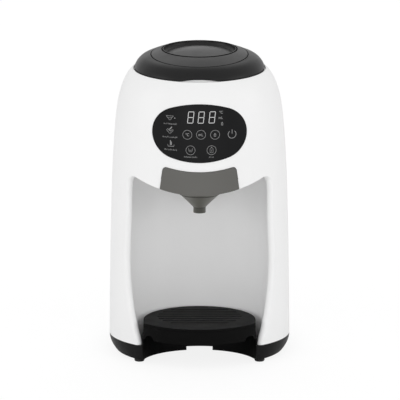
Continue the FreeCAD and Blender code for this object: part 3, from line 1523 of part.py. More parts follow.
nipple = sketch_on(tank_seat, "XY_Plane", cup_floor - cells.seat_cup_wall)
circle(nipple, cells.hose_radius, nipple_at)
pad(tank_seat, nipple, cells.nipple_length, reverse=True)
drain = sketch_on(tank_seat, "XY_Plane", cup_floor)
circle(drain, cells.hose_bore, nipple_at)
pocket(tank_seat, drain, cells.seat_cup_wall + cells.nipple_length)

float_at = (-cells.float_x, cells.float_y, tank_floor_top)
float_rod = new_body("float_rod", float_at)
rod = sketch_on(float_rod, "XY_Plane")
circle(rod, cells.float_rod_radius)
pad(float_rod, rod, cells.float_rod_length)
float_bottom = cells.seat_gap
turned("tank_float", [
    (cells.float_rod_radius + cells.slide_gap, float_bottom),
    (cells.float_radius, float_bottom),
    (cells.float_radius, cells.float_height + float_bottom),
    (cells.float_rod_radius + cells.slide_gap, cells.float_height + float_bottom),
], float_at)


# ---------------------------------------------------------------------------------------------
# Mains inlet at the back, under the tank's shelf
# ---------------------------------------------------------------------------------------------

def inlet_socket():
    half, wall = mm.inlet_half_width, mm.inlet_wall
    front = mm.rear_depth - mm.inlet_depth
    body = block(-half, half, front, BEHIND, mm.inlet_bottom, mm.inlet_top)
    recess = block(-half + wall, half - wall, mm.rear_depth - mm.inlet_recess, BEHIND,
                   mm.inlet_bottom + wall, mm.inlet_top - wall)
    return one_solid(body.common(outer_form(mm.inlet_proud)).cut(recess))


def inlet_blades():
    """Three flat blades, two above and the earth blade below between them."""
    start = mm.rear_depth - mm.inlet_recess
    middle = (mm.inlet_bottom + mm.inlet_top) / 2.0
    blades = []
    for across, up in ((-mm.blade_spread, 1.6), (mm.blade_spread, 1.6), (0.0, -2.4)):
        blades.append(block(across - 1.0, across + 1.0, start, start + mm.blade_length,
                            middle + up - 2.0, middle + up + 2.0))
    return Part.makeCompound(blades)


solid_piece("inlet_socket", inlet_socket())
solid_piece("inlet_blades", inlet_blades())


# ---------------------------------------------------------------------------------------------
# Inner units: a frame on the base that carries the heater and the pump, with hoses and boards
# ---------------------------------------------------------------------------------------------

frame_back = cells.unit_y + cells.heater_radius + 8.0
shelf_top = cells.shelf_height + 5.0
heater_top = shelf_top + cells.heater_length


def inner_frame():
    """A folded plate: a foot on the base, an upright and a shelf."""
    half = mm.heater_x + mm.heater_radius
    front = mm.unit_y - mm.heater_radius
    back, low, shelf = frame_back.value, mm.shell_bottom, shelf_top.value
    sheet_metal = 1.6
    foot = block(-half, half, front, back, low, low + sheet_metal)
    upright = block(-half, half, back - sheet_metal, back, low, shelf + mm.heater_length)
    ledge = block(-half, half, front, back, shelf - sheet_metal, shelf)
    passage = block(mm.heater_x - 18.0, mm.heater_x + 8.0, mm.unit_y + 6.0, BEHIND,
                    low, shelf - 8.0)
    inlet_hole = post(mm.hose_radius + 1.0, low + 4.0, BEHIND, mm.heater_x, mm.unit_y)
    return one_solid(fuse([foot, upright, ledge]).cut(passage).cut(inlet_hole))


solid_piece("inner_frame", inner_frame())

heater_block = new_body("heater_block", (-cells.heater_x, cells.unit_y, shelf_top))
heater_can = sketch_on(heater_block, "XY_Plane")
circle(heater_can, cells.heater_radius)
pad(heater_block, heater_can, cells.heater_length)
heater_nipple = sketch_on(heater_block, "XY_Plane", cells.heater_length)
circle(heater_nipple, cells.hose_bore, (-cells.heater_x * 0.3, 0))
pad(heater_block, heater_nipple, cells.nipple_length)

turned("thermal_cutoff", [
    (0, 0), (cells.cutoff_radius, 0), (cells.cutoff_radius, cells.cutoff_height),
    (0, cells.cutoff_height),
], (-cells.heater_x * 0.8, cells.unit_y, heater_top))

water_pump = new_body("water_pump", (cells.heater_x, cells.unit_y, shelf_top))
pump_head = sketch_on(water_pump, "XY_Plane")
circle(pump_head, cells.pump_radius)
pad(water_pump, pump_head, cells.pump_height)
pump_motor = sketch_on(water_pump, "XY_Plane", cells.pump_height)
circle(pump_motor, cells.pump_radius * 0.75)
pad(water_pump, pump_motor, cells.pump_height)
pump_inlet = sketch_on(water_pump, "XY_Plane")
circle(pump_inlet, cells.hose_bore)
pad(water_pump, pump_inlet, cells.nipple_length, reverse=True)

box_piece("power_board", -cells.board_half_width, cells.board_half_width,
          frame_back + cells.snug_gap, frame_back + cells.snug_gap + cells.board_thickness,
          cells.shelf_height + 20.0, cells.shelf_height + 70.0)
box_piece("float_sensor_board", -cells.float_x - 8.0, -cells.float_x + 8.0,
          cells.back_wall - cells.shell_wall - cells.board_thickness - cells.snug_gap,
          cells.back_wall - cells.shell_wall - cells.snug_gap,
          tank_floor_top, tank_floor_top + 20.0)

turned("water_nozzle", [
    (cells.hose_bore, cells.chute_bottom - 2.0),
    (cells.nozzle_radius, cells.chute_bottom - 2.0),
    (cells.nozzle_radius, cells.deck_upper),
    (cells.nozzle_radius + 2.5, cells.deck_upper),
    (cells.nozzle_radius + 2.5, cells.deck_upper + 1.2),
    (cells.nozzle_radius, cells.deck_upper + 1.2),
    (cells.nozzle_radius, cells.deck_upper + 7.0),
    (0, cells.deck_upper + 7.0),
    (0, cells.deck_upper + 4.0),
    (cells.hose_bore, cells.deck_upper + 4.0),
], (*NOZZLE, 0))


def bent_path(points, bend):
    """Straight runs through the given corners, joined by round bends."""
    edges = []
    start = points[0]
    for before, corner, after in zip(points, points[1:], points[2:]):
        arriving, leaving = (corner - before).normalize(), (after - corner).normalize()
        turn = arriving.getAngle(leaving)
        set_back = bend * math.tan(turn / 2.0)
        first, last = corner - arriving * set_back, corner + leaving * set_back
        inward = (leaving - arriving).normalize()
        middle = corner + inward * (bend / math.cos(turn / 2.0) - bend)
        edges += [Part.LineSegment(start, first).toShape(), Part.Arc(first, middle, last).toShape()]
        start = last
    edges.append(Part.LineSegment(start, points[-1]).toShape())
    return Part.Wire(edges)


def hose(name, points, bend=0.0):
    """A hose along straight runs and round bends."""
    corners = [Vector(*point) for point in points]
    path = bent_path(corners, bend)
    direction = corners[1] - corners[0]
    rings = [Part.Wire([Part.makeCircle(radius, corners[0], direction)])
             for radius in (mm.hose_radius, mm.hose_bore + 0.1)]
    outside, bore = (path.makePipeShell([ring], True, False) for ring in rings)
    return solid_piece(name, one_solid(outside.cut(bore)))


nipple_x = as_size(nipple_at[0]).value
nipple_end = (cup_floor - cells.seat_cup_wall - cells.nipple_length).value - 0.1
run = nipple_end - 4.5
hose("inlet_hose", [
    (nipple_x, mm.valve_y, nipple_end), (nipple_x, mm.valve_y, run), (mm.heater_x, mm.unit_y, run),
    (mm.heater_x, mm.unit_y, shelf_top.value - mm.nipple_length - 0.1)], 4.2)
pump_outlet = shelf_top.value + 12.0
hose("pump_hose", [
    (mm.heater_x - mm.pump_radius - 0.1, mm.unit_y, pump_outlet),
    (-mm.heater_x + mm.heater_radius + 0.1, mm.unit_y, pump_outlet)])
over = mm.deck_upper + mm.hose_radius + 2.1
hose("outlet_hose", [
    (*HOSE_RISE, heater_top.value + mm.nipple_length + 0.1), (*HOSE_RISE, over),
    (HOSE_RISE[0], NOZZLE[1], over), (NOZZLE[0] - mm.nozzle_radius - 0.1, NOZZLE[1], over)], 7.0)


# ---------------------------------------------------------------------------------------------
# Check and write every piece
# ---------------------------------------------------------------------------------------------

doc.recompute()
for thing in doc.Objects:
    if "Invalid" in thing.State or "Error" in thing.State:
        raise ValueError("%s failed to build: %s" % (thing.Label, thing.State))
for piece in pieces:
    if piece.Shape.isNull() or not piece.Shape.isValid():
        raise ValueError("%s has no valid shape" % piece.Label)
    piece.Shape.exportStep("parts/%s.step" % piece.Label)
    box = piece.Shape.BoundBox
    print("%-20s %d solid(s)  %7.1f %7.1f %7.1f  to %7.1f %7.1f %7.1f" % (
        piece.Label, len(piece.Shape.Solids), box.XMin, box.YMin, box.ZMin,
        box.XMax, box.YMax, box.ZMax))
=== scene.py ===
# %% [markdown]
# # A baby formula maker
#
# The machine mixes infant formula: powder drops from a hopper under the lid, warm water runs
# down beside it, and both fall through a funnel into a bottle in the bay. The solids of every
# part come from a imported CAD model. This lesson loads them as a fixed frame, gives each visible
# part a finish, adds the printed marks of the touch panel, and lights the result plainly.
# Everything is in metres; +Z is up and the front of the machine faces -Y.

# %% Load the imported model
import json
import math

import bmesh
import bpy
import numpy as np
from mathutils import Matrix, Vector


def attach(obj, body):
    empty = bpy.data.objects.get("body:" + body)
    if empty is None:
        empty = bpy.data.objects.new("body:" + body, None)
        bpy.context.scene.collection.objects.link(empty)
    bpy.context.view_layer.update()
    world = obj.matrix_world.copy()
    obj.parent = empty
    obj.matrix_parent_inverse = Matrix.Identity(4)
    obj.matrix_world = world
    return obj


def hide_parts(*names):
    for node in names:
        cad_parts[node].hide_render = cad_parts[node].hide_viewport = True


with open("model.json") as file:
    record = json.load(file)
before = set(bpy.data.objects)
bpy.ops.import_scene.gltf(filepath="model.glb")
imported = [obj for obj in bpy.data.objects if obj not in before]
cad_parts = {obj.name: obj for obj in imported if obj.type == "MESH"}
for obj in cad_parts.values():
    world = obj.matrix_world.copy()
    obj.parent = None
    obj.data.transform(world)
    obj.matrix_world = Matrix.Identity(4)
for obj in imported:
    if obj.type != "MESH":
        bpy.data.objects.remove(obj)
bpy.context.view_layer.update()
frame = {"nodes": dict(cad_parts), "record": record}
nodes = frame["nodes"]
record = frame["record"]
body_of = {node: body for body, names in record["behaviour"]["bodies"].items() for node in names}
slot_of = {part["node"]: part["material_slot"] for part in record["subparts"]}

# %% [markdown]
# ## A small kit for shader nodes
#
# Each finish is a little network of shader nodes. It could be put together by hand in the shader
# editor; written down, it can be read and built again. Three helpers keep the cells short: one
# adds a node with its values, one joins two sockets and one starts a node group. A material's
# surface shader, the Principled BSDF, is always made in the material itself, and values that
# are the same all over the surface are typed straight into its sockets.

# %% Helpers for node networks
def add(tree, kind, **values):
    """A new shader node; keyword values set its sockets (by name) or its own settings."""
    node = tree.nodes.new("ShaderNode" + kind)
    for name, value in values.items():
        if hasattr(node, name):
            setattr(node, name, value)
        else:
            node.inputs[name.replace("_", " ")].default_value = value
    return node


def join(tree, source, target):
    """A link between two sockets."""
    tree.links.new(target, source)


def group_of(title, takes, gives):
    """An empty node group with named inputs (name, kind, value) and named outputs."""
    group = bpy.data.node_groups.new(title, "ShaderNodeTree")
    for name, kind, value in takes:
        socket = group.interface.new_socket(name, in_out="INPUT", socket_type="NodeSocket" + kind)
        socket.default_value = value
    for name, kind in gives:
        group.interface.new_socket(name, in_out="OUTPUT", socket_type="NodeSocket" + kind)
    return group, group.nodes.new("NodeGroupInput"), group.nodes.new("NodeGroupOutput")


# The Mix node has its two colours at inputs 6 and 7 and their mixture at output 2.
MIX_A, MIX_B, MIX_RESULT = 6, 7, 2
print("helpers:", add.__name__, join.__name__, group_of.__name__)

# %% [markdown]
# ## Moulded plastic is never quite even
#
# A moulded part shows three faint things: its colour drifts a little from place to place, its
# gloss is broken up where hands and cloths have been, and its surface has a fine texture from
# the tool it was moulded in. Painted maps could show all three, but every part would have to be
# unwrapped for them. One group, "moulded surface", makes them from noise in Object coordinates
# instead, so that the pattern needs no unwrapping and stays on the part when the part moves.

# %% The moulded surface group
def moulded_surface():
    """Colour x (1 + drift x slow cloud); gloss + handling x smears; height is a fine grain."""
    group, given, out = group_of(
        "moulded surface",
        [("Colour", "Color", (0.5, 0.5, 0.5, 1)), ("Drift", "Float", 0.03),
         ("Gloss", "Float", 0.3), ("Handling", "Float", 0.05), ("Grain size", "Float", 900.0)],
        [("Colour", "Color"), ("Roughness", "Float"), ("Height", "Float")])
    place = add(group, "TexCoord")
    cloud = add(group, "TexNoise", Scale=9.0, Detail=3.0, Roughness=0.55)
    smear = add(group, "TexNoise", Scale=38.0, Detail=6.0, Roughness=0.65)
    grain = add(group, "TexNoise", Detail=2.0, Roughness=0.5)
    for noise in (cloud, smear, grain):
        join(group, place.outputs["Object"], noise.inputs["Vector"])
    join(group, given.outputs["Grain size"], grain.inputs["Scale"])

    swing = add(group, "MapRange", From_Min=0.3, From_Max=0.7, To_Min=-1.0, To_Max=1.0)
    join(group, cloud.outputs["Fac"], swing.inputs["Value"])
    amount = add(group, "Math", operation="MULTIPLY_ADD")
    join(group, swing.outputs["Result"], amount.inputs[0])
    join(group, given.outputs["Drift"], amount.inputs[1])
    amount.inputs[2].default_value = 1.0
    tint = add(group, "VectorMath", operation="SCALE")
    join(group, given.outputs["Colour"], tint.inputs[0])
    join(group, amount.outputs["Value"], tint.inputs["Scale"])
    join(group, tint.outputs["Vector"], out.inputs["Colour"])

    rub = add(group, "MapRange", From_Min=0.35, From_Max=0.75, To_Min=-0.5, To_Max=1.0)
    join(group, smear.outputs["Fac"], rub.inputs["Value"])
    gloss = add(group, "Math", operation="MULTIPLY_ADD", use_clamp=True)
    join(group, rub.outputs["Result"], gloss.inputs[0])
    join(group, given.outputs["Handling"], gloss.inputs[1])
    join(group, given.outputs["Gloss"], gloss.inputs[2])
    join(group, gloss.outputs["Value"], out.inputs["Roughness"])
    join(group, grain.outputs["Fac"], out.inputs["Height"])
    return group


moulded = moulded_surface()
print(moulded.name + ":", len(moulded.nodes), "nodes")

# %% [markdown]
# ## Edges that catch the light
#
# On a used machine the gloss is thinnest on the edges. Here the edges are also painted a little
# paler or darker than the faces: partly wear, partly a painted highlight where edges catch the
# light.
# They could be painted edge by edge; the "worn edge and painted highlight" group finds them by
# itself on any part. It compares the true normal with a softened one: the Bevel node looks a short
# way round each point, and where the two normals disagree there is an edge. Noise breaks the edge
# up so that it doesn't look drawn.

# %% The group for worn edges with a painted highlight
def worn_edge_and_painted_highlight():
    """Colour blended to the edge colour by amount x edge x patches; an edge is where the dot
    product of the softened and the true normal falls below 1."""
    group, given, out = group_of(
        "worn edge and painted highlight",
        [("Colour", "Color", (0.5, 0.5, 0.5, 1)), ("Edge colour", "Color", (0.7, 0.7, 0.7, 1)),
         ("Width", "Float", 0.0008), ("Amount", "Float", 0.5)],
        [("Colour", "Color")])
    soft = add(group, "Bevel", samples=6)
    join(group, given.outputs["Width"], soft.inputs["Radius"])
    true = add(group, "NewGeometry")
    agree = add(group, "VectorMath", operation="DOT_PRODUCT")
    join(group, soft.outputs["Normal"], agree.inputs[0])
    join(group, true.outputs["Normal"], agree.inputs[1])
    edge = add(group, "MapRange", From_Min=0.995, From_Max=0.82, To_Min=0.0, To_Max=1.0)
    join(group, agree.outputs["Value"], edge.inputs["Value"])

    place = add(group, "TexCoord")
    broken = add(group, "TexNoise", Scale=160.0, Detail=4.0)
    join(group, place.outputs["Object"], broken.inputs["Vector"])
    patchy = add(group, "MapRange", From_Min=0.42, From_Max=0.62, To_Min=0.0, To_Max=1.0)
    join(group, broken.outputs["Fac"], patchy.inputs["Value"])
    both = add(group, "Math", operation="MULTIPLY")
    join(group, edge.outputs["Result"], both.inputs[0])
    join(group, patchy.outputs["Result"], both.inputs[1])
    mask = add(group, "Math", operation="MULTIPLY", use_clamp=True)
    join(group, both.outputs["Value"], mask.inputs[0])
    join(group, given.outputs["Amount"], mask.inputs[1])

    # The edge colour stands partly for wear and partly for a painted highlight.
    blend = add(group, "Mix", data_type="RGBA")
    join(group, mask.outputs["Value"], blend.inputs["Factor"])
    join(group, given.outputs["Colour"], blend.inputs[MIX_A])
    join(group, given.outputs["Edge colour"], blend.inputs[MIX_B])
    join(group, blend.outputs[MIX_RESULT], out.inputs["Colour"])
    return group


wear_and_highlight = worn_edge_and_painted_highlight()
print(wear_and_highlight.name + ":", len(wear_and_highlight.nodes), "nodes")

# %% [markdown]
# ## One recipe for every finish
#
# A finish is a colour, a gloss, a grain and an edge. Each could be a material of its own, drawn
# from nothing; one recipe keeps them alike and short. `finish` builds a material from those four
# with the two groups above and a Principled BSDF. Sheens, transmission and the rest are constant
# over the surface, so they are passed as plain socket values.

# %% The finish recipe
RELIEF = 0.0004          # depth of the fine texture at full strength


def grey(value):
    """A colour with `value` for its red, its green and its blue."""
    return (value, value, value)


def finish(title, colour, gloss, grain=900.0, bump=0.02, drift=0.03, handling=0.05,
           edge=None, edge_amount=0.35, **shader):
    """A material: colour and gloss through the groups, the rest set on the BSDF's sockets."""
    material = bpy.data.materials.new(title)
    material.use_nodes = True
    tree = material.node_tree
    bsdf = tree.nodes["Principled BSDF"]
    for name, value in shader.items():
        bsdf.inputs[name.replace("_", " ")].default_value = value
    surface = add(tree, "Group")
    surface.node_tree = moulded
    for name, value in (("Colour", (*colour, 1)), ("Gloss", gloss), ("Drift", drift),
                        ("Handling", handling), ("Grain size", grain)):
        surface.inputs[name].default_value = value
    paint = surface.outputs["Colour"]
    if edge is not None:
        # Edges get the edge colour: partly wear, partly a painted highlight.
        rim = add(tree, "Group")
        rim.node_tree = wear_and_highlight
        rim.inputs["Edge colour"].default_value = (*edge, 1)
        rim.inputs["Amount"].default_value = edge_amount
        join(tree, paint, rim.inputs["Colour"])
        paint = rim.outputs["Colour"]
    join(tree, paint, bsdf.inputs["Base Color"])
    join(tree, surface.outputs["Roughness"], bsdf.inputs["Roughness"])
    relief = add(tree, "Bump", Strength=bump, Distance=RELIEF)
    join(tree, surface.outputs["Height"], relief.inputs["Height"])
    join(tree, relief.outputs["Normal"], bsdf.inputs["Normal"])
    return material


print("recipe for a finish:", finish.__name__)

# %% [markdown]
# ## Finishes of the outer parts
#
# The shell is glossy white plastic. The base, the tray and the lid are near-black plastics of
# different textures, the touch panel is dark glass, the drawer is a smoked grey and the feet are
# rubber. The plastics are dyed right through, so nothing needs to be painted on: one colour
# with a little drift, a gloss and a grain is all that such a part has.

# %% Outer finishes by slot
finishes = {
    "white_shell": finish("glossy white shell", grey(0.885), 0.30, grain=1400.0, bump=0.015,
                          drift=0.006, edge=(0.93, 0.93, 0.92), edge_amount=0.4,
                          Specular_IOR_Level=0.25),
    "black_plastic": finish("satin black plastic", (0.003, 0.003, 0.0032), 0.38, bump=0.05,
                            drift=0.15, edge=(0.02, 0.02, 0.021), Specular_IOR_Level=0.14),
    "tray_plastic": finish("fine-textured tray plastic", grey(0.0065), 0.6, grain=700.0,
                           bump=0.12, drift=0.2, edge=grey(0.002), edge_amount=0.8,
                           Specular_IOR_Level=0.08),
    "lid_plastic": finish("lid band", (0.009, 0.009, 0.0092), 0.34, grain=1200.0, bump=0.03,
                          drift=0.12, handling=0.08, edge=(0.06, 0.06, 0.062),
                          edge_amount=0.2, Specular_IOR_Level=0.25),
    "touch_glass": finish("dark touch panel", (0.013, 0.013, 0.0135), 0.3, grain=300.0,
                          bump=0.004, drift=0.1, handling=0.06, edge=(0.04, 0.04, 0.042),
                          edge_amount=0.5, Specular_IOR_Level=0.05),
    "smoke_plastic": finish("smoked grey plastic", (0.114, 0.112, 0.104), 0.45, grain=1000.0,
                            bump=0.05, drift=0.05, edge=(0.22, 0.22, 0.21),
                            Specular_IOR_Level=0.35),
    "foot_rubber": finish("soft foot rubber", grey(0.02), 0.75, grain=500.0, bump=0.2,
                          drift=0.2, Specular_IOR_Level=0.3),
}
print("outer finishes:", len(finishes))

# %% [markdown]
# ## Finishes of the inner plastics
#
# The hopper and the tank are clear, the gears ivory, the hoses milky, the float foamed, and the
# boards green. A clear part could be made see-through with Alpha, but then it would neither bend
# light nor shine as plastic does. Transmission with the refraction of acrylic does both.

# %% Inner finishes by slot
ACRYLIC = 1.49           # how strongly clear plastic bends light
finishes.update({
    "hopper_clear": finish("clear hopper plastic", (0.90, 0.91, 0.92), 0.10, bump=0.01,
                           handling=0.06, Transmission_Weight=0.86, IOR=ACRYLIC),
    "tank_clear": finish("clear tank plastic", (0.93, 0.958, 0.97), 0.06, bump=0.008,
                         Transmission_Weight=0.93, IOR=ACRYLIC),
    "gear_plastic": finish("ivory gear plastic", (0.74, 0.72, 0.64), 0.42, bump=0.05,
                           drift=0.04, edge=(0.82, 0.81, 0.76)),
    "hose_silicone": finish("milky silicone", (0.72, 0.72, 0.69), 0.4, bump=0.03,
                            Subsurface_Weight=0.15, Subsurface_Radius=(0.002, 0.002, 0.002)),
    "float_blue": finish("foamed float", (0.05, 0.14, 0.36), 0.7, grain=350.0, bump=0.3,
                         drift=0.1),
    "board_green": finish("circuit board", (0.02, 0.13, 0.05), 0.4, grain=160.0, bump=0.1,
                          drift=0.2),
    "display_grey": finish("display housing", (0.10, 0.10, 0.11), 0.5, drift=0.1),
})
print("with the inner plastics:", len(finishes))

# %% [markdown]
# ## Finishes of the metals
#
# Pins and screws are plain steel, the heater is cast, the motor's can is zinc-plated, the frame
# is galvanised sheet and the blades of the inlet are brass. A metal could be told from plastic
# by its colour alone, but only Metallic tints its reflections too. It is 1 for all but the dull
# sheet, and the size and depth of the grain tell a casting from a drawn can.

# %% Metal finishes by slot
finishes.update({
    "screw_steel": finish("plain steel", (0.55, 0.55, 0.56), 0.32, grain=600.0, bump=0.06,
                          Metallic=1.0),
    "metal_unit": finish("cast aluminium", (0.60, 0.61, 0.62), 0.45, grain=260.0, bump=0.25,
                         drift=0.06, Metallic=1.0),
    "motor_steel": finish("zinc-plated can", (0.48, 0.49, 0.50), 0.30, grain=420.0, bump=0.06,
                          drift=0.08, Metallic=1.0),
    "frame_steel": finish("galvanised sheet", (0.50, 0.51, 0.52), 0.38, grain=90.0, bump=0.05,
                          drift=0.12, Metallic=0.9),
    "blade_brass": finish("plain brass", (0.72, 0.58, 0.28), 0.28, bump=0.04, Metallic=1.0),
})
print("with the metals:", len(finishes))

# %% [markdown]
# ## Parts with a finish of their own
#
# Four parts differ a little from the others of their material: the lid's insert reflects more
# than the band round it, the hopper's lip is a duller white, the front of the tray is painted a
# deeper black than its grille as painted shade, since the light falls on the grille's top, and
# the funnel is darker than its cover plate. They could have slots of their own in the CAD model;
# there they are one material, so the difference is made here.

# %% Own finishes, and every part gets its material
own_finish = {
    "lid_insert": finish("dished lid insert", (0.013, 0.013, 0.0132), 0.36, grain=1200.0,
                         bump=0.03, drift=0.12, handling=0.08, Specular_IOR_Level=0.32),
    "front_lip": finish("lip in the notch", grey(0.80), 0.35, grain=1400.0, bump=0.015,
                        drift=0.006, Specular_IOR_Level=0.25),
    # The tray's front is painted darker than the grille: painted shade, as the light falls from
    # above.
    "tray_tub": finish("tray front with painted shade", grey(0.0035), 0.6, grain=700.0, bump=0.1,
                       drift=0.2, edge=grey(0.012), Specular_IOR_Level=0.05),
    "mixing_funnel": finish("smoked funnel", (0.052, 0.051, 0.043), 0.4, bump=0.04, drift=0.06,
                            edge=(0.16, 0.16, 0.15), Specular_IOR_Level=0.35),
}
for name, part in nodes.items():
    part.data.materials.clear()
    part.data.materials.append(own_finish.get(name, finishes[slot_of[name]]))
print("finishes:", len(finishes) + len(own_finish), "on", len(nodes), "parts")

# %% [markdown]
# ## Three helpers for meshes
#
# A mesh that is joined from parts has several points in one place, and light breaks there. Edit
# mode has Merge by Distance for that; `weld` does the same in a script. `shade` blends the light
# over gentle edges only, and `put_in_scene` makes an object for a finished mesh. The object
# stays at the origin, with its place in the mesh itself.

# %% Weld, shade and put in the scene
HAIR = 1e-7              # 0.1 micrometre, shorter than any edge that is meant


def weld(mesh, reach, tidy_up=False):
    """Merges points within `reach`; `tidy_up` also drops flat slivers and turns faces outwards."""
    work = bmesh.new()
    work.from_mesh(mesh)
    bmesh.ops.remove_doubles(work, verts=work.verts, dist=reach)
    if tidy_up:
        bmesh.ops.dissolve_degenerate(work, edges=work.edges, dist=HAIR)
        bmesh.ops.recalc_face_normals(work, faces=work.faces)
    work.to_mesh(mesh)
    work.free()


def shade(mesh, crisp):
    """Smooth shading; edges that turn by more than `crisp` degrees stay sharp."""
    mesh.shade_smooth()
    mesh.set_sharp_from_angle(angle=math.radians(crisp))


def put_in_scene(title, data):
    """A new object at the origin that shows the mesh, the camera or the lamp `data`."""
    thing = bpy.data.objects.new(title, data)
    bpy.context.scene.collection.objects.link(thing)
    return thing


print("helpers:", weld.__name__, shade.__name__, put_in_scene.__name__)

# %% [markdown]
# ## Smooth skins for the curved parts
#
# The CAD parts arrive as loose triangles. They could be modelled again with fewer, larger faces,
# but then they might leave the CAD form. A copy of a part with its corners merged keeps the form
# and can be shaded smoothly: edges that turn by less than a set angle are blended, sharper ones
# stay crisp. The copy stands for its part and rides on the same body.

# %% Merged, smooth copies
CAD_REACH = 2e-6         # corners of CAD triangles this near to each other are one point


def smooth_copy(node, title, crisp=28.0):
    """A part's own surface, merged at its corners; edges over `crisp` degrees stay sharp."""
    mesh = nodes[node].data.copy()
    mesh.name = title
    weld(mesh, CAD_REACH)
    if mesh.has_custom_normals:
        mesh.attributes.remove(mesh.attributes["custom_normal"])
    shade(mesh, crisp)
    piece = put_in_scene(title, mesh)
    even = piece.modifiers.new("even shading", "WEIGHTED_NORMAL")
    even.keep_sharp = True
    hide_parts(node)
    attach(piece, body_of[node])
    return piece


skins = {
    "front_housing": "white_front_shell", "rear_housing": "white_rear_shell", "base": "black_base",
    "lid_shell": "domed_lid", "lid_insert": "dished_lid_insert", "tray_tub": "drip_tray",
    "drip_grille": "slotted_grille", "touch_panel": "touch_panel_skin",
    "funnel_cover": "drawer_cover", "funnel_holder": "funnel_drawer",
    "mixing_funnel": "grey_funnel", "water_tank": "clear_tank", "tank_lid": "white_tank_lid",
    "powder_hopper": "clear_hopper", "front_lip": "white_lip", "rubber_feet": "black_feet",
    "dosing_wheel": "dosing_wheel_skin", "hopper_floor": "hopper_floor_skin",
    "stirrer": "stirrer_skin", "inlet_socket": "inlet_socket_skin",
}
skin_of = {node: smooth_copy(node, title) for node, title in skins.items()}
print("smooth skins:", len(skins))

# %% [markdown]
# ## Painted shade on the sides of the grille's slots
#
# The grille is textured on top only. Its upright faces, most of them the sides of its slots, get
# the darker black of the tray's front as painted shade, since the light falls on the top. They
# could be split off as a piece of their own; a second material does the same without a seam. Every
# face whose normal is nearly level takes it.

# %% Upright faces of the grille, painted with shade
NEARLY_LEVEL = 0.5       # the most that an upright face's normal may rise or fall
grille = skin_of["drip_grille"].data
grille.materials.append(own_finish["tray_tub"])
normals = np.zeros(len(grille.polygons) * 3, np.float32)
grille.polygons.foreach_get("normal", normals)
# The upright faces take the tray front's darker material as painted shade.
upright = np.abs(normals.reshape(-1, 3)[:, 2]) < NEARLY_LEVEL
grille.polygons.foreach_set("material_index", upright.astype(np.int32))
print("upright faces of the grille:", int(upright.sum()))

# %% [markdown]
# ## A lathe
#
# The lid's dish, the painted shadow ring round it and the painted shadow lines of the funnel are
# round. They could be spun with a Screw modifier; worked out as arrays they have their exact sizes
# at once. A profile of radius and height is swept round an upright axis, and every pair of
# neighbouring points of the profile becomes a band of four-sided faces. Points that meet on the
# axis, or where a closed profile ends, are merged.

# %% Turned pieces
MEETING = 1e-6           # points this near to each other are one point


def turned(title, profile, centre, body, material, steps=96, crisp=40.0):
    """A surface of revolution: point (radius, height) goes to (radius cos t, radius sin t,
    height) from the centre."""
    profile = np.asarray(profile, float)
    turn = np.linspace(0.0, 2.0 * math.pi, steps, endpoint=False)
    circle = np.stack([np.cos(turn), np.sin(turn)], axis=1)
    across = profile[:, None, :1] * circle[None]
    up = np.broadcast_to(profile[:, None, 1:], (len(profile), steps, 1))
    points = np.concatenate([across, up], axis=2).reshape(-1, 3) + np.array([*centre, 0.0])
    row = np.arange(len(profile) - 1)[:, None] * steps
    step = np.arange(steps)[None]
    after = (step + 1) % steps
    faces = np.stack([row + step, row + after, row + steps + after, row + steps + step], axis=-1)
    mesh = bpy.data.meshes.new(title)
    mesh.from_pydata(points.tolist(), [], faces.reshape(-1, 4).tolist())
    weld(mesh, MEETING, tidy_up=True)
    shade(mesh, crisp)
    mesh.materials.append(material)
    piece = put_in_scene(title, mesh)
    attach(piece, body)
    print(title + ":", len(mesh.polygons), "faces")


# %% [markdown]
# ## The domed liner of the lid's dish
#
# The dish in the lid has a floor that bulges up like a watch glass, with a narrow moat between it
# and a coved wall. A scaled ball and a ring could stand for them, but the curves would meet with
# a crease. In one turned profile the dome falls as part of a sphere, and a quarter of an ellipse
# rises from the moat to the rim.

# %% Domed liner
LID_AXIS = (0.0, -0.0391)
RIM, FLOOR = 0.30865, 0.30372          # heights of the dish's rim and of its floor
HOLE, MOAT = 0.0361, 0.0338            # radius of the dish, and of the middle of the moat
CROWN = RIM - 0.0001                   # the dome's top, just under the rim
OUTSIDE, UNDER = HOLE + 0.00005, FLOOR - 0.0002        # the liner's back, sunk in the lid
sphere = (MOAT ** 2 + (RIM - FLOOR) ** 2) / (2.0 * (RIM - FLOOR))
out = np.linspace(0.0, MOAT, 24)
fall = np.stack([out, CROWN - sphere + np.sqrt(sphere ** 2 - out ** 2)], axis=1)
lift = np.linspace(0.0, math.pi / 2.0, 8)[1:]
cove = np.stack([MOAT + (HOLE - MOAT) * np.sin(lift), RIM - (RIM - FLOOR) * np.cos(lift)], axis=1)
back = [(OUTSIDE, RIM), (OUTSIDE, UNDER), (0.0, UNDER)]
turned("domed_dish_liner", np.vstack([fall, cove, back]), LID_AXIS, "lid",
       own_finish["lid_insert"])

# %% [markdown]
# ## Painted shadow lines as fine dark rings
#
# A painted shadow line runs round the dish's rim, another round the funnel's cone just under the
# plate, and a third where the cone meets the spout: fine dark rings that stand for shade. A torus
# could be scaled flat for each. A small ellipse swept on the same lathe gives the same form, half
# sunk in the surface that carries it.

# %% Painted shadow rings round the dish and the funnel
SIDES = 12               # of the ellipse


def painted_shadow_ring(title, node, centre, place, size, material):
    """A painted shadow line: the ellipse (radius + wide cos t, height + tall sin t) swept round
    the axis, with (radius, height) from `place` and (wide, tall) from `size`."""
    turn = np.linspace(0.0, 2.0 * math.pi, SIDES + 1)
    section = np.stack([place[0] + size[0] * np.cos(turn), place[1] + size[1] * np.sin(turn)],
                       axis=1)
    turned(title, section, centre, body_of[node], material)


FUNNEL_AXIS = (0.0, -0.0671)
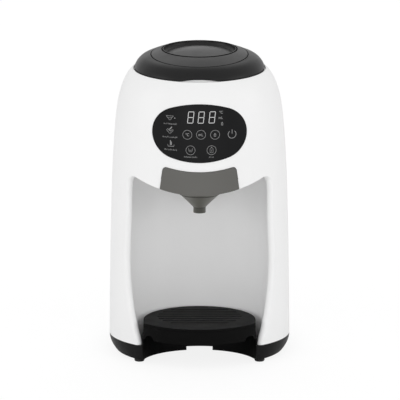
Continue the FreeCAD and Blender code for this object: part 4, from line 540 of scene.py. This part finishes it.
# shadow black and shadow grey colour rings that stand for shade: painted shadow lines, not parts.
shadow_black = finish("shadow black", grey(0.003), 0.7, drift=0.15, Specular_IOR_Level=0.0)
shadow_grey = finish("shadow grey", (0.022, 0.022, 0.019), 0.5, drift=0.15,
                     Specular_IOR_Level=0.2)
painted_shadow_ring("dish_painted_shadow_ring", "lid_insert", LID_AXIS, (0.0373, 0.30832), (0.0008, 0.00028), shadow_black)
painted_shadow_ring("cone_painted_shadow_line", "mixing_funnel", FUNNEL_AXIS, (0.0203, 0.1671), (0.00034, 0.00034), shadow_grey)
painted_shadow_ring("spout_painted_shadow_line", "mixing_funnel", FUNNEL_AXIS, (0.0063, 0.1531), (0.00025, 0.00025),
     shadow_grey)

# %% [markdown]
# ## Painted pale edges of the funnel
#
# The funnel is of a slightly clear plastic and looks paler where it is seen edge-on. That
# paleness is painted into its colour as a painted sheen: real transmission could show it, but it
# takes many samples to come out clean. The Layer Weight node says how far the surface turns away,
# and a mix of two colours follows it at no cost.

# %% A painted sheen for the funnel's edges
PAINTED_EDGE_SHEEN = (0.20, 0.198, 0.18, 1)
tree = own_finish["mixing_funnel"].node_tree
shader = tree.nodes["Principled BSDF"]
dense_colour = shader.inputs["Base Color"].links[0].from_socket
# The paler colour on edge-on faces is a painted sheen, not a colour of the plastic.
turned_away = add(tree, "LayerWeight", Blend=0.5)
paler = add(tree, "Mix", data_type="RGBA")
join(tree, turned_away.outputs["Facing"], paler.inputs["Factor"])
join(tree, dense_colour, paler.inputs[MIX_A])
paler.inputs[MIX_B].default_value = PAINTED_EDGE_SHEEN
join(tree, paler.outputs[MIX_RESULT], shader.inputs["Base Color"])
print("funnel colour follows:", turned_away.name)

# %% [markdown]
# ## The face of the touch panel
#
# The printed marks follow the panel's curved face. A Shrinkwrap modifier could lay them on it; a
# formula for the face does it in one step, at every point alike. The face is nearly a low-order
# surface, so a least-squares fit of y as a polynomial in x and z gives its depth anywhere. The
# vertices of the panel's sides and back lie behind the fitted face, so a few rounds drop the
# farthest of them and fit the rest again.

# %% Fit the panel's face
ROUNDS = 6
CLOSE = 0.00004          # a vertex this near to the fitted face is always kept


def panel_face():
    """A function y(x, z): even powers of x times powers of z up to 4, fitted to the front."""
    panel = nodes["touch_panel"].data
    points = np.zeros(len(panel.vertices) * 3, np.float32)
    panel.vertices.foreach_get("co", points)
    points = points.reshape(-1, 3).astype(float)
    middle = (points.min(axis=0) + points.max(axis=0)) / 2.0
    half = (points.max(axis=0) - points.min(axis=0)) / 2.0

    def terms(x, z):
        """All products u^i v^j, with u and v running from -1 to 1 across and up the panel."""
        u, v = (x - middle[0]) / half[0], (z - middle[2]) / half[2]
        return np.stack([u ** i * v ** j for i in (0, 2, 4, 6) for j in range(5)], axis=-1)

    front = points
    for _ in range(ROUNDS):
        fit = np.linalg.lstsq(terms(front[:, 0], front[:, 2]), front[:, 1], rcond=None)[0]
        gap = front[:, 1] - terms(front[:, 0], front[:, 2]) @ fit
        keep = gap < max(CLOSE, np.percentile(gap, 60))
        if keep.all():
            break
        front = front[keep]
    print("panel face fitted to %d points, worst gap %.3f mm"
          % (len(front), abs(gap).max() * 1000))
    return lambda x, z: terms(np.asarray(x, float), np.asarray(z, float)) @ fit


face_y = panel_face()
PANEL_MIDDLE = 0.2389    # height of the panel's middle

# %% [markdown]
# ## Drawing with ribbons
#
# Every printed mark is a ribbon: a path in the panel's own plane, in millimetres across and up
# from its middle, widened to both sides. A curve object with a bevel could do this too, but it
# would have to be made a mesh before it could be bent. As arrays the ribbons are ready at once,
# cut into short pieces, so that they can follow the panel's face.

# %% Ribbons in the panel's plane
def dense(path, step=0.5):
    """A path with points at most `step` apart: each straight run is divided evenly."""
    path = np.asarray(path, float)
    runs = [np.linspace(a, b, max(2, int(np.ceil(np.linalg.norm(b - a) / step)) + 1))[:-1]
            for a, b in zip(path[:-1], path[1:])]
    return np.vstack(runs + [path[-1:]])


def ribbon(path, width, closed=False):
    """Both edges of a ribbon: every point moved half a width along the left-hand normal of the
    way from the point before it to the point after it, and as far to the other side."""
    path = np.asarray(path, float)
    after, before = np.roll(path, -1, axis=0), np.roll(path, 1, axis=0)
    if not closed:
        after[-1], before[0] = path[-1], path[0]
    way = after - before
    way /= np.linalg.norm(way, axis=1, keepdims=True)
    half = np.broadcast_to(width, len(path))[:, None] / 2
    side = np.stack([-way[:, 1], way[:, 0]], axis=1) * half
    edges = np.stack([path - side, path + side], axis=1)
    return np.concatenate([edges, edges[:1]]) if closed else edges


print("a run of 4 mm:", len(dense([(0, 0), (4, 0)])), "points")


# %% Arcs, lines and rings
def arc(centre, radius, start=0.0, stop=360.0):
    """Points on a circle: centre plus radius times (cosine, sine) of evenly spaced angles."""
    count = max(8, int(abs(stop - start) / 12.0))
    turn = np.radians(np.linspace(start, stop, count + 1))
    return np.asarray(centre) + radius * np.stack([np.cos(turn), np.sin(turn)], axis=1)


def lines(width, *paths):
    """A list of ribbons of one width, one along each path of straight runs."""
    return [ribbon(dense(path), width) for path in paths]


def ring(centre, radius, width=0.38):
    """A closed ribbon along a whole circle."""
    return ribbon(arc(centre, radius)[:-1], width, closed=True)


print("a ring:", len(arc((0, 0), 1)), "points")

# %% [markdown]
# ## Printing on the face
#
# The marks are thin films of ink on the glass. An image could carry them, but the panel would
# have to be unwrapped for it, and close by its edges would blur. As a mesh they stay sharp: each
# point of a ribbon gets its depth from the fitted face, and a Solidify modifier gives the ink a
# thickness towards the glass, so that each mark is a closed film.

# %% From ribbons to a mesh
INK = 0.00004            # thickness of the ink
LIFT = 0.00006           # how far its face stands in front of the glass


def print_marks(title, ribbons, material, thin=1.0):
    """One mesh from many ribbons, each narrowed about its middle line by `thin`; a point
    (across, up) gets the depth of the panel's face there."""
    points, faces, first = [], [], 0
    for edges in ribbons:
        middle = edges.mean(axis=1, keepdims=True)
        edges = middle + (edges - middle) * thin
        count = len(edges)
        points.append(edges.reshape(-1, 2))
        low = first + 2 * np.arange(count - 1)
        faces.append(np.stack([low, low + 2, low + 3, low + 1], axis=1))
        first += 2 * count
    across, up = np.vstack(points).T / 1000.0
    height = PANEL_MIDDLE + up
    corners = np.stack([across, face_y(across, height) - LIFT, height], axis=1)
    mesh = bpy.data.meshes.new(title)
    mesh.from_pydata(corners.tolist(), [], np.vstack(faces).tolist())
    weld(mesh, HAIR)
    mesh.materials.append(material)
    piece = put_in_scene(title, mesh)
    ink = piece.modifiers.new("thickness of the ink", "SOLIDIFY")
    ink.thickness = INK
    ink.offset = -1.0
    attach(piece, "housing")
    print(title + ":", len(ribbons), "ribbons")


# The display's figures really glow; the glow given to printed ink is painted light.
def lit_or_painted_glow(title, strength, base):
    """A pale, plain finish with an even white glow: the display's figures are lit from behind; on
    printed ink the glow is painted light.
    """
    material = finish(title, grey(base), 0.4, bump=0.0, handling=0.0)
    bsdf = material.node_tree.nodes["Principled BSDF"]
    bsdf.inputs["Emission Color"].default_value = (1, 1, 1, 1)
    bsdf.inputs["Emission Strength"].default_value = strength
    return material


print("ink: %.2f mm thick" % (INK * 1000))

# %% [markdown]
# ## The display
#
# The display shows three leaning seven-segment figures, all lit. A text object could write them,
# but no plain font has their pointed strokes. Each figure is seven ribbons, narrow at both ends
# and a little short of their corners.

# %% Lit figures
POINT, SHORT = 0.2, 0.12               # width of a stroke's ends, and its gap to the corner
FIGURES_LEFT, FIGURES_FOOT = (-12.0, -1.6, 9.3), 10.9


def figure(left, low, wide=5.4, tall=11.2, lean=0.11, stroke=0.62):
    """Seven pointed strokes of a figure 8: at the top, middle and foot, and four at the sides."""
    def at(u, v):
        """The point at shares u of the width and v of the height, moved over by the lean."""
        return (left + u * wide + lean * v * tall, low + v * tall)

    joints = [((0, 0), (1, 0)), ((0, 0.5), (1, 0.5)), ((0, 1), (1, 1)), ((0, 0), (0, 0.5)),
              ((1, 0), (1, 0.5)), ((0, 0.5), (0, 1)), ((1, 0.5), (1, 1))]
    strokes = []
    for start, end in joints:
        a, b = np.array(at(*start)), np.array(at(*end))
        way = (b - a) / np.linalg.norm(b - a)
        a, b = a + way * SHORT, b - way * SHORT
        taper = way * stroke / 2
        strokes.append(ribbon([a, a + taper, b - taper, b], [POINT, stroke, stroke, POINT]))
    return strokes


lit = lit_or_painted_glow("lit figures", 0.42, base=0.2)
figures = [stroke for left in FIGURES_LEFT for stroke in figure(left, FIGURES_FOOT)]
print_marks("display_figures", figures, lit)

# %% [markdown]
# ## Unit signs
#
# Beside the figures stand the signs for degrees, millilitres and bottles. The same three signs
# come again inside the touch keys, so each is a function of its middle and its size.

# %% Degrees, millilitres and a small bottle
def degree_c(centre, size=1.0):
    """A small ring, and an open arc for the C."""
    x, z = centre
    return [ring((x - 1.4 * size, z + 0.9 * size), 0.42 * size, 0.35 * size),
            ribbon(arc((x + 0.8 * size, z), 1.25 * size, 50, 310), 0.5 * size)]


def millilitres(centre, size=1.0):
    """Three stems under a bar for the m, an upright on a foot for the L."""
    x, z = centre
    foot, top = z - 1.2 * size, z + 0.5 * size
    stems = [((x + d * size, foot), (x + d * size, top)) for d in (-2.2, -1.2, -0.2)]
    bar = ((x - 2.2 * size, top), (x - 0.2 * size, top))
    upright = ((x + 0.9 * size, z + 1.3 * size), (x + 0.9 * size, foot))
    sole = ((x + 0.9 * size, foot), (x + 2.3 * size, foot))
    return lines(0.42 * size, *stems, bar) + lines(0.45 * size, upright, sole)


def small_bottle(centre, half=0.75):
    """Two sides, a foot and a shoulder, two lines up to the neck, and a level mark."""
    x, z = centre
    tall = 3.2
    foot, shoulder, top = z - tall / 2, z + tall * 0.2, z + tall / 2
    level = z - tall * 0.12
    return (lines(0.4, *[((x + s * half, shoulder), (x + s * half, foot)) for s in (-1, 1)])
            + lines(0.45, *[((x - half, h), (x + half, h)) for h in (foot, shoulder)])
            + lines(0.35, *[((x + s * half * 0.4, shoulder), (x + s * half * 0.3, top))
                            for s in (-1, 1)])
            + lines(0.3, ((x - half, level), (x + half * 0.1, level))))


unit_signs = degree_c((21.6, 21.2), 0.95) + millilitres((21.1, 15.8), 0.9)
unit_signs += small_bottle((22.5, 9.9))
print("unit signs:", len(unit_signs), "ribbons")

# %% [markdown]
# ## Touch keys
#
# Five ringed keys carry the three unit signs, a cup and a feeding bottle. The power key at the
# right is an open ring with a stroke through its gap.

# %% Keys and what they carry
def cup(centre):
    """Two slanting sides, a foot, and an arc for what is in it."""
    x, z = centre
    return lines(0.32, [(x - 2.0, z + 1.6), (x - 1.3, z - 1.8)],
                 [(x + 2.0, z + 1.6), (x + 1.3, z - 1.8)],
                 [(x - 1.3, z - 1.8), (x + 1.3, z - 1.8)]) + [
        ribbon(arc((x, z + 0.9), 1.4, 200, 340), 0.3)]


def feeding_bottle(centre):
    """An arc for the shoulder, two sides and a foot, a teat, and a short upright line inside."""
    x, z = centre
    return [ribbon(arc((x, z + 0.9), 1.4, 25, 155), 0.32)] + lines(
        0.32, [(x - 1.5, z + 1.4), (x - 1.5, z - 2.6)], [(x + 1.5, z + 1.4), (x + 1.5, z - 2.6)],
        [(x - 1.5, z - 2.6), (x + 1.5, z - 2.6)]) + lines(
        0.7, [(x - 0.1, z + 2.5), (x - 0.1, z + 3.3)]) + lines(
        0.3, [(x - 0.1, z + 0.6), (x - 0.1, z - 1.6)])


KEY_RADIUS = 4.55
key_places = [(-12.1, -0.9), (1.5, -0.7), (15.5, -1.0), (-8.9, -16.5), (12.0, -16.5)]
key_signs = [ring(place, KEY_RADIUS) for place in key_places]
key_signs += degree_c((-11.9, -0.9)) + millilitres((1.4, -0.8)) + small_bottle((15.4, -1.0), 0.85)
key_signs += cup((-8.9, -16.2)) + feeding_bottle((12.0, -16.4))
power_sign = [ribbon(arc((32.4, -1.5), 3.95, 128, 412), 0.6)]
power_sign += lines(0.6, [(32.4, 3.3), (32.4, -1.0)])
print("keys:", len(key_places), "and a power key")

# %% [markdown]
# ## Three small pictures
#
# At the left stand three warning pictures: a funnel with its plug, a leaf over an open hand, and
# a drop over a tray with raised ends. They are only a few millimetres tall, so a handful of
# strokes says all that can be made out.

# %% Pictures, and printing of all the signs
funnel_sign = lines(0.35, [(-33.2, 17.2), (-25.9, 17.2)], [(-33.2, 17.1), (-29.7, 13.0)],
                    [(-25.9, 17.1), (-29.4, 13.0)])
funnel_sign += lines(0.3, [(-31.8, 15.6), (-27.3, 15.6)])
funnel_sign += lines(0.9, [(-25.3, 15.2), (-24.0, 15.2)])
leaf_sign = lines(1.1, [(-29.9, 3.4), (-27.4, 6.3)])
leaf_sign += lines(0.45, [(-32.8, 3.2), (-31.3, 4.2), (-30.1, 2.6), (-29.0, 1.9), (-27.6, 3.2),
                          (-25.9, 3.3)])
leaf_sign += lines(0.4, [(-32.6, 2.6), (-29.4, -0.6), (-26.1, 2.6)])
drop_sign = lines(0.9, [(-28.9, -7.2), (-28.9, -12.0)])
drop_sign += lines(0.8, [(-27.9, -8.6), (-27.9, -12.0)])
drop_sign += lines(0.5, [(-31.4, -13.3), (-25.4, -13.3)])
drop_sign += lines(0.35, [(-31.6, -11.4), (-31.2, -13.3)], [(-25.2, -11.4), (-25.6, -13.3)])
signs = key_signs + unit_signs + power_sign + funnel_sign + leaf_sign + drop_sign
# The pale print's glow is painted light: the ink is no lamp.
printed = lit_or_painted_glow("pale print with painted glow", 0.13, base=0.17)
print_marks("printed_signs", signs, printed, thin=0.8)

# %% [markdown]
# ## Captions
#
# The captions under the keys and pictures are too small to read. Real words could be set as
# text, but at this size only their rhythm shows, so each is a row of plain short strokes whose
# heights and gaps come from a random draw with a seed of its own.

# %% Rows of strokes
PEN, PITCH = 0.24, 0.62                # width of a stroke, and the way from one to the next
STEM, TALLER, BAR = 1.0, 0.6, 0.5      # a stem, what a tall one adds, and a cross bar


def caption(centre, wide, seed):
    """A row of short upright strokes of uneven height with gaps: writing too small to read."""
    places = np.arange(-wide / 2, wide / 2, PITCH)
    chance = np.random.default_rng(seed).random(len(places))
    strokes = []
    for place, luck in zip(places, chance):
        if luck < 0.12:                # a gap between two words
            continue
        x, foot = centre[0] + place, centre[1] - 0.65
        strokes += lines(PEN, [(x, foot), (x, foot + STEM + TALLER * (luck > 0.8))])
        if luck > 0.45:                # a bar at the foot, or near the top
            bar = foot + 0.85 * (luck > 0.7)
            strokes += lines(PEN, [(x, bar), (x + BAR, bar)])
    return strokes


captions = [((-29.2, 9.3), 12.6), ((-29.0, -4.1), 15.4), ((-28.6, -16.8), 12.0),
            ((-8.9, -23.3), 12.5), ((12.0, -23.4), 4.6)]
rows = [stroke for seed, (where, wide) in enumerate(captions, 11)
        for stroke in caption(where, wide, seed)]
# The captions' faint glow is painted light: the ink is no lamp.
faint = lit_or_painted_glow("faint print with painted glow", 0.075, base=0.15)
print_marks("small_captions", rows, faint)

# %% [markdown]
# ## The camera
#
# The object is seen with a long lens from a little above. An orthographic camera would show no
# perspective at all; a long lens keeps a trace of it. Its length follows from the distance, so
# that the frame is 0.4 m wide at the hopper's axis.

# %% Camera
DISTANCE = 14.0
RISE = math.radians(13.5)
FRAME_WIDTH, SENSOR_WIDTH = 0.400, 36.0                # metres at the aim, millimetres of film
AIM = Vector((0.0005, -0.0391, 0.1531))
camera_data = bpy.data.cameras.new("long lens")
camera_data.sensor_width = SENSOR_WIDTH
camera_data.lens = SENSOR_WIDTH * DISTANCE / FRAME_WIDTH
camera_data.clip_end = 100.0
camera = put_in_scene("camera", camera_data)
camera.location = AIM + DISTANCE * Vector((0, -math.cos(RISE), math.sin(RISE)))
camera.rotation_euler = (math.pi / 2 - RISE, 0, 0)
bpy.context.scene.camera = camera
print("lens %.0f mm at %.1f m" % (camera_data.lens, DISTANCE))

# %% [markdown]
# ## The floor
#
# A pale floor takes the machine's soft shadow. More light could make it white, but it would wash
# out the object too. So the camera alone sees the floor glow a little, like white paper, and the
# object is lit as it would be on any pale table.

# %% Floor
FLOOR_HALF = 30.0        # half of a side, far past the edges of the frame
PAPER_SHARE, PAPER_GLOW = 0.82, 1.05   # how much of what the camera sees glows, and how bright


def paper_floor():
    """A square at height 0; camera rays see plain floor and an even white, mixed by share."""
    material = bpy.data.materials.new("pale floor")
    material.use_nodes = True
    tree = material.node_tree
    bsdf = tree.nodes["Principled BSDF"]
    bsdf.inputs["Base Color"].default_value = (*grey(0.86), 1)
    bsdf.inputs["Roughness"].default_value = 0.7
    bsdf.inputs["Specular IOR Level"].default_value = 0.1
    seen = add(tree, "LightPath")
    share = add(tree, "Math", operation="MULTIPLY")
    join(tree, seen.outputs["Is Camera Ray"], share.inputs[0])
    share.inputs[1].default_value = PAPER_SHARE
    glow = add(tree, "Emission", Color=(1, 1, 1, 1), Strength=PAPER_GLOW)
    both = add(tree, "MixShader")
    join(tree, share.outputs["Value"], both.inputs["Fac"])
    join(tree, bsdf.outputs["BSDF"], both.inputs[1])
    join(tree, glow.outputs["Emission"], both.inputs[2])
    join(tree, both.outputs["Shader"], tree.nodes["Material Output"].inputs["Surface"])
    mesh = bpy.data.meshes.new("floor")
    corners = [(x * FLOOR_HALF, y * FLOOR_HALF, 0)
               for x, y in ((-1, -1), (1, -1), (1, 1), (-1, 1))]
    mesh.from_pydata(corners, [], [(0, 1, 2, 3)])
    mesh.materials.append(material)
    floor = put_in_scene("floor", mesh)


paper_floor()
print("floor: %.0f m square" % (2 * FLOOR_HALF))

# %% [markdown]
# ## Sky and lamps
#
# An even grey sky lights the object from all round; the camera sees it white, both directly and
# through clear plastic. A sun would give hard shadows, so four soft rectangles do the rest: a
# low strip in front, a window on either side, and a panel high up behind, whose reflection gives
# the lid its sheen.

# %% Sky
def sky():
    """The world: an even grey, but white for camera rays and for rays through clear plastic."""
    world = bpy.data.worlds.new("studio")
    world.use_nodes = True
    tree = world.node_tree
    back = tree.nodes["Background"]
    back.inputs["Color"].default_value = (*grey(0.80), 1)
    white = add(tree, "Background", Color=(1, 1, 1, 1))
    seen = add(tree, "LightPath")
    first = add(tree, "Math", operation="MAXIMUM")
    join(tree, seen.outputs["Is Camera Ray"], first.inputs[0])
    join(tree, seen.outputs["Is Transmission Ray"], first.inputs[1])
    mix = add(tree, "MixShader")
    join(tree, first.outputs["Value"], mix.inputs["Fac"])
    join(tree, back.outputs["Background"], mix.inputs[1])
    join(tree, white.outputs["Background"], mix.inputs[2])
    join(tree, mix.outputs["Shader"], tree.nodes["World Output"].inputs["Surface"])
    bpy.context.scene.world = world


sky()
bpy.context.scene.view_settings.view_transform = "Standard"
print("sky:", bpy.context.scene.world.name)


# %% Lamps round the object
def soft_lamp(title, place, aim, wide, tall, watts):
    """A rectangular area lamp that looks at a point."""
    data = bpy.data.lights.new(title, "AREA")
    data.shape = "RECTANGLE"
    data.size, data.size_y = wide, tall
    data.energy = watts
    lamp = put_in_scene(title, data)
    lamp.location = place
    lamp.rotation_euler = (Vector(aim) - Vector(place)).to_track_quat("-Z", "Y").to_euler()
    print("%s: %.1f W" % (title, watts))


soft_lamp("low front strip", (0, -2.2, 0.27), (0, 0, 0.12), 2.4, 0.5, 7.5)
soft_lamp("left window", (-2.2, -0.8, 0.6), (0, 0, 0.15), 1.4, 1.0, 5.4)
soft_lamp("right window", (2.2, -0.8, 0.6), (0, 0, 0.15), 1.4, 1.0, 5.4)
soft_lamp("ceiling", (0, 1.3, 2.0), (0, 0, 0.2), 2.0, 1.4, 7.0)
